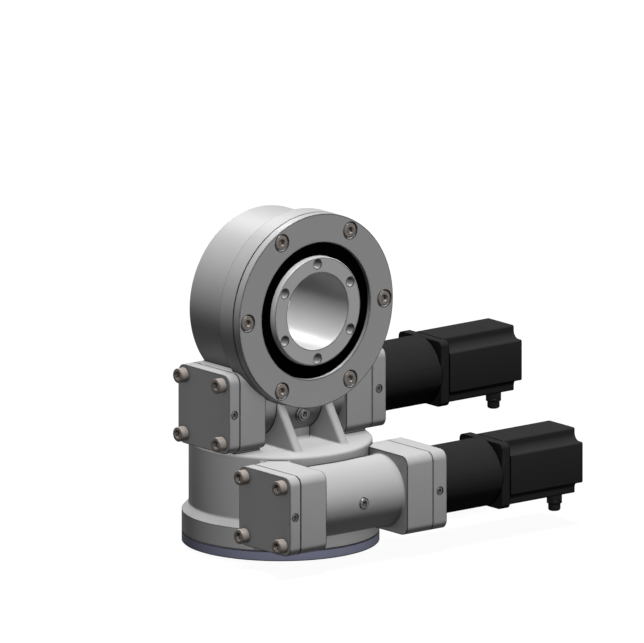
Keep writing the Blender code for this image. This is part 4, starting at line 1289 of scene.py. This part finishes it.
@dataclass
class RingDrive:
    """The round pieces of one drive: cover plate, seal and output ring."""

    drive: Drive
    cover_bore: float = 0.06035
    counterbore: float = 0.0075
    shank_hole: float = 0.0044
    counterbore_depth: float = 0.0053
    edge: float = 0.0002
    ring_chamfer: float = 0.0009
    tap_radius: float = 0.00425
    tap_circle: float = 0.042
    tap_depth: float = 0.02
    tap_pitch: float = 0.0015
    tap_groove: float = 0.0005
    taps: int = 6
    hub_radius: float = 0.048
    bore_radius: float = 0.034
    journal_radius: float = 0.046
    web_radius: float = 0.052
    wheel_half_width: float = 0.008
    shoulder_setback: float = 0.003
    seal_lip: float = 0.0008
    seal_gap: float = 0.0003

    def build(self) -> None:
        """Models the three pieces."""
        self.cover()
        self.seal()
        self.ring()

    def cover(self) -> None:
        """Models the cover plate with counterbores for its six screws."""
        drive = self.drive
        low, high = drive.span("cover")
        bore = self.cover_bore
        outer = high.x
        edge = self.edge
        profile = [(bore, low.z), (outer, low.z), (outer, high.z - edge), (outer - edge, high.z),
                   (bore + edge, high.z), (bore, high.z - edge)]
        cover = lathe(drive.name + "_cover_plate", profile, FACETS.drum, ring=True)
        hole = stepped_hole(self.shank_hole, self.counterbore, low.z - OVERRUN,
                            high.z - self.counterbore_depth, high.z + OVERRUN)
        work(cover, row_of(hole, drive.spots(drive.ring, "cover_screw")), Fit.CUT)
        if drive.upright:
            drive.hand_over(cover, "cover", drive.ring, "plate", Workshop.COVER)
        else:
            drive.hand_over(cover, "cover", drive.ring, "base_plate", Workshop.BASE_COVER)

    def seal(self) -> None:
        """Models the wide rubber seal, with a lip at the ring and a bead at the plate."""
        drive = self.drive
        low, high = drive.span("seal")
        inner = self.hub_radius + self.seal_gap
        outer = self.cover_bore - self.seal_gap
        lip = self.seal_lip
        front = high.z
        profile = [(inner, low.z), (outer, low.z), (outer, front - lip), (outer - lip, front),
                   (outer - 2.0 * lip, front), (outer - 3.0 * lip, front - lip),
                   (inner + 4.0 * lip, front - lip), (inner + 2.0 * lip, front),
                   (inner + lip, front), (inner, front - lip)]
        seal = lathe(drive.name + "_face_seal", profile, FACETS.drum, ring=True)
        drive.hand_over(seal, "seal", drive.ring, "seal_rubber", Workshop.SEAL)

    def ring(self) -> None:
        """Models the output ring: a fine hub welded to the CAD ring's own teeth."""
        drive = self.drive
        low, high = drive.span("ring")
        core = rod("core", self.web_radius, low.z - OVERRUN, high.z + OVERRUN, FACETS.drum)
        teeth = self.teeth()
        work(teeth, core, Fit.CUT)
        hub = lathe("hub", self.hub_profile(low.z, high.z), FACETS.drum, ring=True)
        work(hub, self.taps_tool(high.z), Fit.CUT)
        work(teeth, hub, Fit.WELD)
        drive.hand_over(teeth, "ring", drive.ring, "ring_steel", Workshop.RING, drive.ring_body)

    def teeth(self) -> Piece:
        """Copies the CAD ring, freed of the frame's marks, into the ring frame.

        Returns:
            The closed copy, at the origin.
        """
        drive = self.drive
        teeth = twin(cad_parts[drive.node("ring")], drive.name + "_output_ring",
                     drive.ring.inverted())
        for key in [key for key in teeth.keys() if key.startswith("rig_")]:
            del teeth[key]
        teeth.parent = None
        take(teeth)
        bpy.ops.object.mode_set(mode="EDIT")
        close_up()
        return teeth

    def hub_profile(self, back: float, face: float) -> Profile:
        """Works out the hub's section, with its journal and its race for the seal.

        Args:
            back: Height of the journal's end.
            face: Height of the output face.

        Returns:
            The stations, from the bore's back round to its front.
        """
        cover_low, _ = self.drive.span("cover")
        shoulder = cover_low.z - self.seal_gap - self.shoulder_setback
        web = self.web_radius + WELD
        half = self.wheel_half_width
        bore, journal, hub = self.bore_radius, self.journal_radius, self.hub_radius
        chamfer, edge = self.ring_chamfer, self.edge
        return [(bore, back + chamfer), (bore + chamfer, back), (journal - chamfer, back),
                (journal, back + chamfer), (journal, -half), (web, -half), (web, shoulder),
                (hub, shoulder), (hub, face - chamfer), (hub - chamfer, face),
                (bore + edge, face), (bore, face - edge)]

    def taps_tool(self, face: float) -> Piece:
        """Models the tool for the tapped holes: thread grooves under a plain mouth.

        Args:
            face: Height of the output face.

        Returns:
            The tool for all the holes.
        """
        radius = self.tap_radius
        groove = radius + self.tap_groove
        profile = [(radius, face - self.tap_depth)]
        height = face - self.tap_depth + self.tap_pitch
        while height < face - 2.0 * self.tap_pitch:
            profile += [(radius, height), (groove, height + self.tap_pitch / 2.0)]
            height += self.tap_pitch
        profile += [(radius, height), (radius, face + WELD)]
        hole = lathe("tap", profile, FACETS.screw)
        return row_of(hole, on_circle(self.tap_circle, self.taps, math.pi / self.taps))


# Ends of the worm housings


@dataclass
class WormEnds:
    """The end cap and the motor adapter of one worm housing."""

    drive: Drive
    half: float = 0.035
    corner: float = 0.008
    edge: float = 0.0002
    seat: float = 0.0738
    spigot_radius: float = 0.0246
    spigot_length: float = 0.0033
    shank_hole: float = 0.0044
    counterbore: float = 0.0067
    counterbore_depth: float = 0.0083
    adapter_bore: float = 0.0145
    plug_gap: float = 0.0003

    def build(self) -> None:
        """Models both plates."""
        self.end_cap()
        self.adapter()

    def end_cap(self) -> None:
        """Models the blind plate on the worm's free end."""
        low, _ = self.drive.worm_span("end_cap")
        seat = self.seat
        cap = plate(self.drive.name + "_blind_cap", self.half, self.corner, low.z, -seat,
                    self.edge)
        spigot = rod("spigot", self.spigot_radius, -seat - WELD, self.spigot_length - seat,
                     FACETS.tube)
        work(cap, spigot, Fit.WELD)
        hole = rod("hole", self.shank_hole, low.z - OVERRUN, OVERRUN - seat)
        self.finish(cap, hole, "cap_screw", "cap_plug", "end_cap")

    def adapter(self) -> None:
        """Models the motor plate with its sunk screws."""
        _, high = self.drive.worm_span("adapter")
        seat = self.seat
        back = seat - self.spigot_length
        adapter = plate(self.drive.name + "_motor_adapter", self.half, self.corner, seat, high.z,
                        self.edge)
        work(adapter, rod("spigot", self.spigot_radius, back, seat + WELD, FACETS.tube), Fit.WELD)
        work(adapter, rod("bore", self.adapter_bore, back - OVERRUN, high.z + OVERRUN,
                          FACETS.tube), Fit.CUT)
        hole = stepped_hole(self.shank_hole, self.counterbore, seat - OVERRUN,
                            high.z - self.counterbore_depth, high.z + OVERRUN)
        self.finish(adapter, hole, "adapter_screw", "adapter_plug", "adapter")

    def finish(self, piece: Piece, hole: Piece, screws: str, plug: str, kind: str) -> None:
        """Drills a plate, cuts its plug's pocket and puts it in place.

        Args:
            piece: The plate.
            hole: The tool for one screw's hole.
            screws: The screws' name in the CAD nodes.
            plug: The plug's name in the CAD nodes.
            kind: The plate's name in the CAD nodes.
        """
        drive = self.drive
        work(piece, row_of(hole, drive.spots(drive.worm, screws)), Fit.CUT)
        spot, depth, radius = drive.plug(plug)
        pocket = rod("pocket", radius + self.plug_gap, -depth - self.plug_gap, OVERRUN)
        work(piece, moved(pocket, spot), Fit.CUT)
        drive.hand_over(piece, kind, drive.worm, "plate", Workshop.PLATE)


# Gear motors


@dataclass
class GearMotor:
    """The gearbox, motor and connector of one drive."""

    drive: Drive
    gearbox_radius: float = 0.030
    gearbox_chamfer: float = 0.0012
    spigot_radius: float = 0.0142
    spigot_length: float = 0.004
    socket_radius: float = 0.0083
    plate_thickness: float = 0.0097
    plate_corner: float = 0.0045
    half: float = 0.029
    notch: float = 0.011
    notch_lip: float = 0.0045
    rounding: float = 0.0016
    lip: float = 0.0003
    seam: float = 0.0004
    collar: float = 0.0067
    collar_share: float = 0.61
    groove_share: float = 0.75
    barrel: float = 0.0054
    barrel_end: float = 0.002
    pin_bore: float = 0.003
    pin_floor_share: float = 2.0 / 3.0

    def build(self) -> None:
        """Models the three pieces."""
        self.gearbox()
        self.motor()
        self.connector()

    def gearbox(self) -> None:
        """Models the round gearbox and its square plate."""
        drive = self.drive
        low, high = drive.worm_span("gearbox")
        front = low.z + self.spigot_length
        back = high.z - self.plate_thickness
        r = self.gearbox_radius
        profile = [(self.spigot_radius, low.z), (self.spigot_radius, front),
                   (r - self.gearbox_chamfer, front), (r, front + self.gearbox_chamfer),
                   (r, back + WELD)]
        body = lathe(drive.name + "_planetary_gearbox", profile, FACETS.tube)
        work(body, plate("square", self.half, self.plate_corner, back, high.z, self.lip),
             Fit.WELD)
        _, worm_high = drive.worm_span("worm")
        socket = rod("socket", self.socket_radius, low.z - OVERRUN, worm_high.z + self.seam)
        work(body, socket, Fit.CUT)
        drive.hand_over(body, "gearbox", drive.worm, "black_paint", Workshop.GEARBOX)

    def motor(self) -> None:
        """Models the motor: a square body whose four corners have round-bottomed notches."""
        drive = self.drive
        low, high = drive.worm_span("motor")
        half = self.half
        body = block(drive.name + "_motor_body", Vector((-half, -half, low.z)),
                     Vector((half, half, high.z)))
        notch = plate("notch", self.notch, self.notch - self.notch_lip, low.z - OVERRUN,
                      high.z + OVERRUN)
        work(body, row_of(notch, on_square(half)), Fit.CUT)
        round_edges(body, lambda e: is_upright(e) and self.on_lip(e), self.rounding,
                    FACETS.fillet)
        round_edges(body, lambda e: is_level(e, high.z), self.lip, FACETS.chamfer)
        drive.hand_over(body, "motor", drive.worm, "black_paint", Workshop.MOTOR)

    def on_lip(self, edge: Edge) -> bool:
        """Says whether an edge is where a flat side ends at a notch.

        Args:
            edge: An edge of the motor's body.

        Returns:
            Whether it lies on a side, a notch's width from the corner.
        """
        x, y = abs(edge.verts[0].co.x), abs(edge.verts[0].co.y)
        flat = self.half - self.notch
        return abs(max(x, y) - self.half) < MERGE and abs(min(x, y) - flat) < self.lip

    def connector(self) -> None:
        """Models the cable connector: a grooved collar, and a barrel with its pin bore."""
        drive = self.drive
        down = drive.downward()
        middle, reach = drive.along("connector", down)
        matrix = drive.worm @ facing(down, middle - down * reach / 2.0)
        collar, barrel, end = self.collar, self.barrel, self.barrel_end
        lip, seam = self.lip, self.seam
        shoulder = reach * self.collar_share
        groove = shoulder * self.groove_share
        profile = [(collar, 0.0), (collar, groove - seam), (collar - seam, groove),
                   (collar, groove + seam), (collar, shoulder - lip),
                   (collar - lip, shoulder), (barrel, shoulder + lip)]
        profile += fillet((barrel - end, reach - end), end, 0.0, QUARTER_TURN)
        profile += [(self.pin_bore, reach), (self.pin_bore, reach * self.pin_floor_share)]
        piece = lathe(drive.name + "_cable_connector", profile, FACETS.screw)
        drive.hand_over(piece, "connector", matrix, "connector_plastic", Workshop.CONNECTOR)


# Pieces that stay as the CAD has them


@dataclass
class InnerWorks:
    """The worm, bearings and ball row of one drive, which keep their CAD shapes."""

    drive: Drive

    def dress(self) -> None:
        """Gives each inner node its finish."""
        drive = self.drive
        for kind, finish, matrix in (("worm", Workshop.WORM, drive.worm),
                                     ("bearing_end", Workshop.BEARING, drive.worm),
                                     ("bearing_motor", Workshop.BEARING, drive.worm),
                                     ("balls", Workshop.CAGE, drive.ring)):
            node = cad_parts[drive.node(kind)]
            dress(node, finish.material(matrix))
            LOG.info("%s: keeps its CAD shape", node.name)


# Studio


def grey(tone: float) -> tuple[float, ...]:
    """A plain grey with its alpha."""
    return tone, tone, tone, 1.0


@dataclass
class Studio:
    """The floor, the lamps, the world and the camera."""

    view_turn: float = math.radians(39.1)
    view_rise: float = math.radians(13.2)
    frame_width: float = 0.5564
    middle_right: float = 0.03581
    middle_up: float = 0.18965
    distance: float = 1.6
    far_clip: float = 16.0
    plain_from: tuple[float, float, float] = (-0.46, -1.33, 3.2)
    shadow_from: tuple[float, float, float] = (0.0, 0.0, 1.0)
    sheen_from: tuple[float, float, float] = (0.254, 0.755, 0.582)
    plain_light: float = 3.5
    shadow_light: float = 1.0
    sheen_light: float = 1.45
    softness: float = math.radians(14.0)
    ambient: float = 0.055
    floor_tone: float = 0.8
    floor_roughness: float = 0.9
    floor_glow: float = 0.93
    floor_glow_share: float = 0.75
    floor_bounce: float = 0.07
    floor_drop: float = 0.0004
    floor_size: float = 9.0

    def build(self) -> None:
        """Sets up the studio."""
        self.floor()
        self.lamps()
        self.world()
        self.camera()
        bpy.context.scene.view_settings.view_transform = "Standard"

    @staticmethod
    def seen(nodes: Nodes) -> Socket:
        """Gives 1 for rays from the camera, and 0 for those that light the object."""
        return nodes.add("ShaderNodeLightPath").outputs["Is Camera Ray"]

    def floor(self) -> None:
        """A plain pale floor that keeps a faint shadow and throws little light back."""
        deselect()
        bpy.ops.mesh.primitive_plane_add(size=self.floor_size,
                                         location=(0.0, 0.0, -self.floor_drop))
        floor = added("studio_floor")
        material = bpy.data.materials.new("pale_floor")
        material.use_nodes = True
        nodes = Nodes(material.node_tree)
        shader = material.node_tree.nodes["Principled BSDF"]
        shader.inputs["Roughness"].default_value = self.floor_roughness
        shader.inputs["Specular IOR Level"].default_value = 0.0
        glow = nodes.add("ShaderNodeEmission")
        glow.inputs["Strength"].default_value = self.floor_glow
        seen = self.seen(nodes)
        colour = nodes.add("ShaderNodeMix", data_type="RGBA")
        nodes.link(seen, colour.inputs["Factor"])
        colour.inputs["A"].default_value = grey(self.floor_bounce)
        colour.inputs["B"].default_value = grey(self.floor_tone)
        nodes.link(colour.outputs["Result"], shader.inputs["Base Color"])
        mix = nodes.add("ShaderNodeMixShader")
        nodes.link(nodes.maths("MULTIPLY", seen, self.floor_glow_share), mix.inputs["Fac"])
        nodes.link(shader.outputs["BSDF"], mix.inputs[1])
        nodes.link(glow.outputs["Emission"], mix.inputs[2])
        nodes.link(mix.outputs["Shader"],
                   material.node_tree.nodes["Material Output"].inputs["Surface"])
        dress(floor, material)

    def lamps(self) -> None:
        """An even light, a soft one with shadows, and one from behind for the sheen alone."""
        for name, place, strength, shadow, matt_share in (
                ("even_light", self.plain_from, self.plain_light, False, 1.0),
                ("soft_light", self.shadow_from, self.shadow_light, True, 1.0),
                ("sheen_light", self.sheen_from, self.sheen_light, False, 0.0)):
            direction = Vector(place).normalized()
            lamp = bpy.data.lights.new(name, "SUN")
            lamp.diffuse_factor = matt_share
            lamp.energy = strength
            lamp.angle = self.softness
            lamp.use_shadow = shadow
            holder = bpy.data.objects.new(name, lamp)
            bpy.context.scene.collection.objects.link(holder)
            holder.rotation_euler = direction.to_track_quat("Z", "Y").to_euler()
            holder.location = direction * self.distance

    def world(self) -> None:
        """A white background over a dim even light from all sides."""
        world = bpy.data.worlds.new("studio")
        bpy.context.scene.world = world
        world.use_nodes = True
        nodes = Nodes(world.node_tree)
        sky = world.node_tree.nodes["Background"]
        nodes.link(nodes.spread(self.seen(nodes), 0.0, 1.0, self.ambient, 1.0),
                   sky.inputs["Strength"])
        sky.inputs["Color"].default_value = grey(1.0)

    def camera(self) -> None:
        """A parallel-projection camera at the photograph's angle."""
        turn, rise = self.view_turn, self.view_rise
        right = Vector((math.cos(turn), -math.sin(turn), 0.0))
        up = Vector((math.sin(turn) * math.sin(rise), math.cos(turn) * math.sin(rise),
                     math.cos(rise)))
        back = right.cross(up)
        lens = bpy.data.cameras.new("camera")
        lens.type = "ORTHO"
        lens.ortho_scale = self.frame_width
        lens.clip_end = self.far_clip
        camera = bpy.data.objects.new("camera", lens)
        bpy.context.scene.collection.objects.link(camera)
        place = right * self.middle_right + up * self.middle_up + back * self.distance
        turned = Matrix((right, up, back)).transposed().to_4x4()
        camera.matrix_world = Matrix.Translation(place) @ turned
        bpy.context.scene.camera = camera


def main() -> None:
    """Builds the looks of the whole drive; each piece is reported as it is handed over."""
    logging.basicConfig(level=logging.INFO, format="%(name)s: %(message)s")
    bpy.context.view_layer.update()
    lower = Drive.read("azimuth", False, "post_ring")
    upper = Drive.read("elevation", True, "frame_ring")
    Casting(lower, upper).build()
    for drive in (lower, upper):
        for part in (RingDrive, WormEnds, GearMotor, Fasteners):
            part(drive).build()
        InnerWorks(drive).dress()
    Studio().build()


if __name__ == "__main__":
    main()
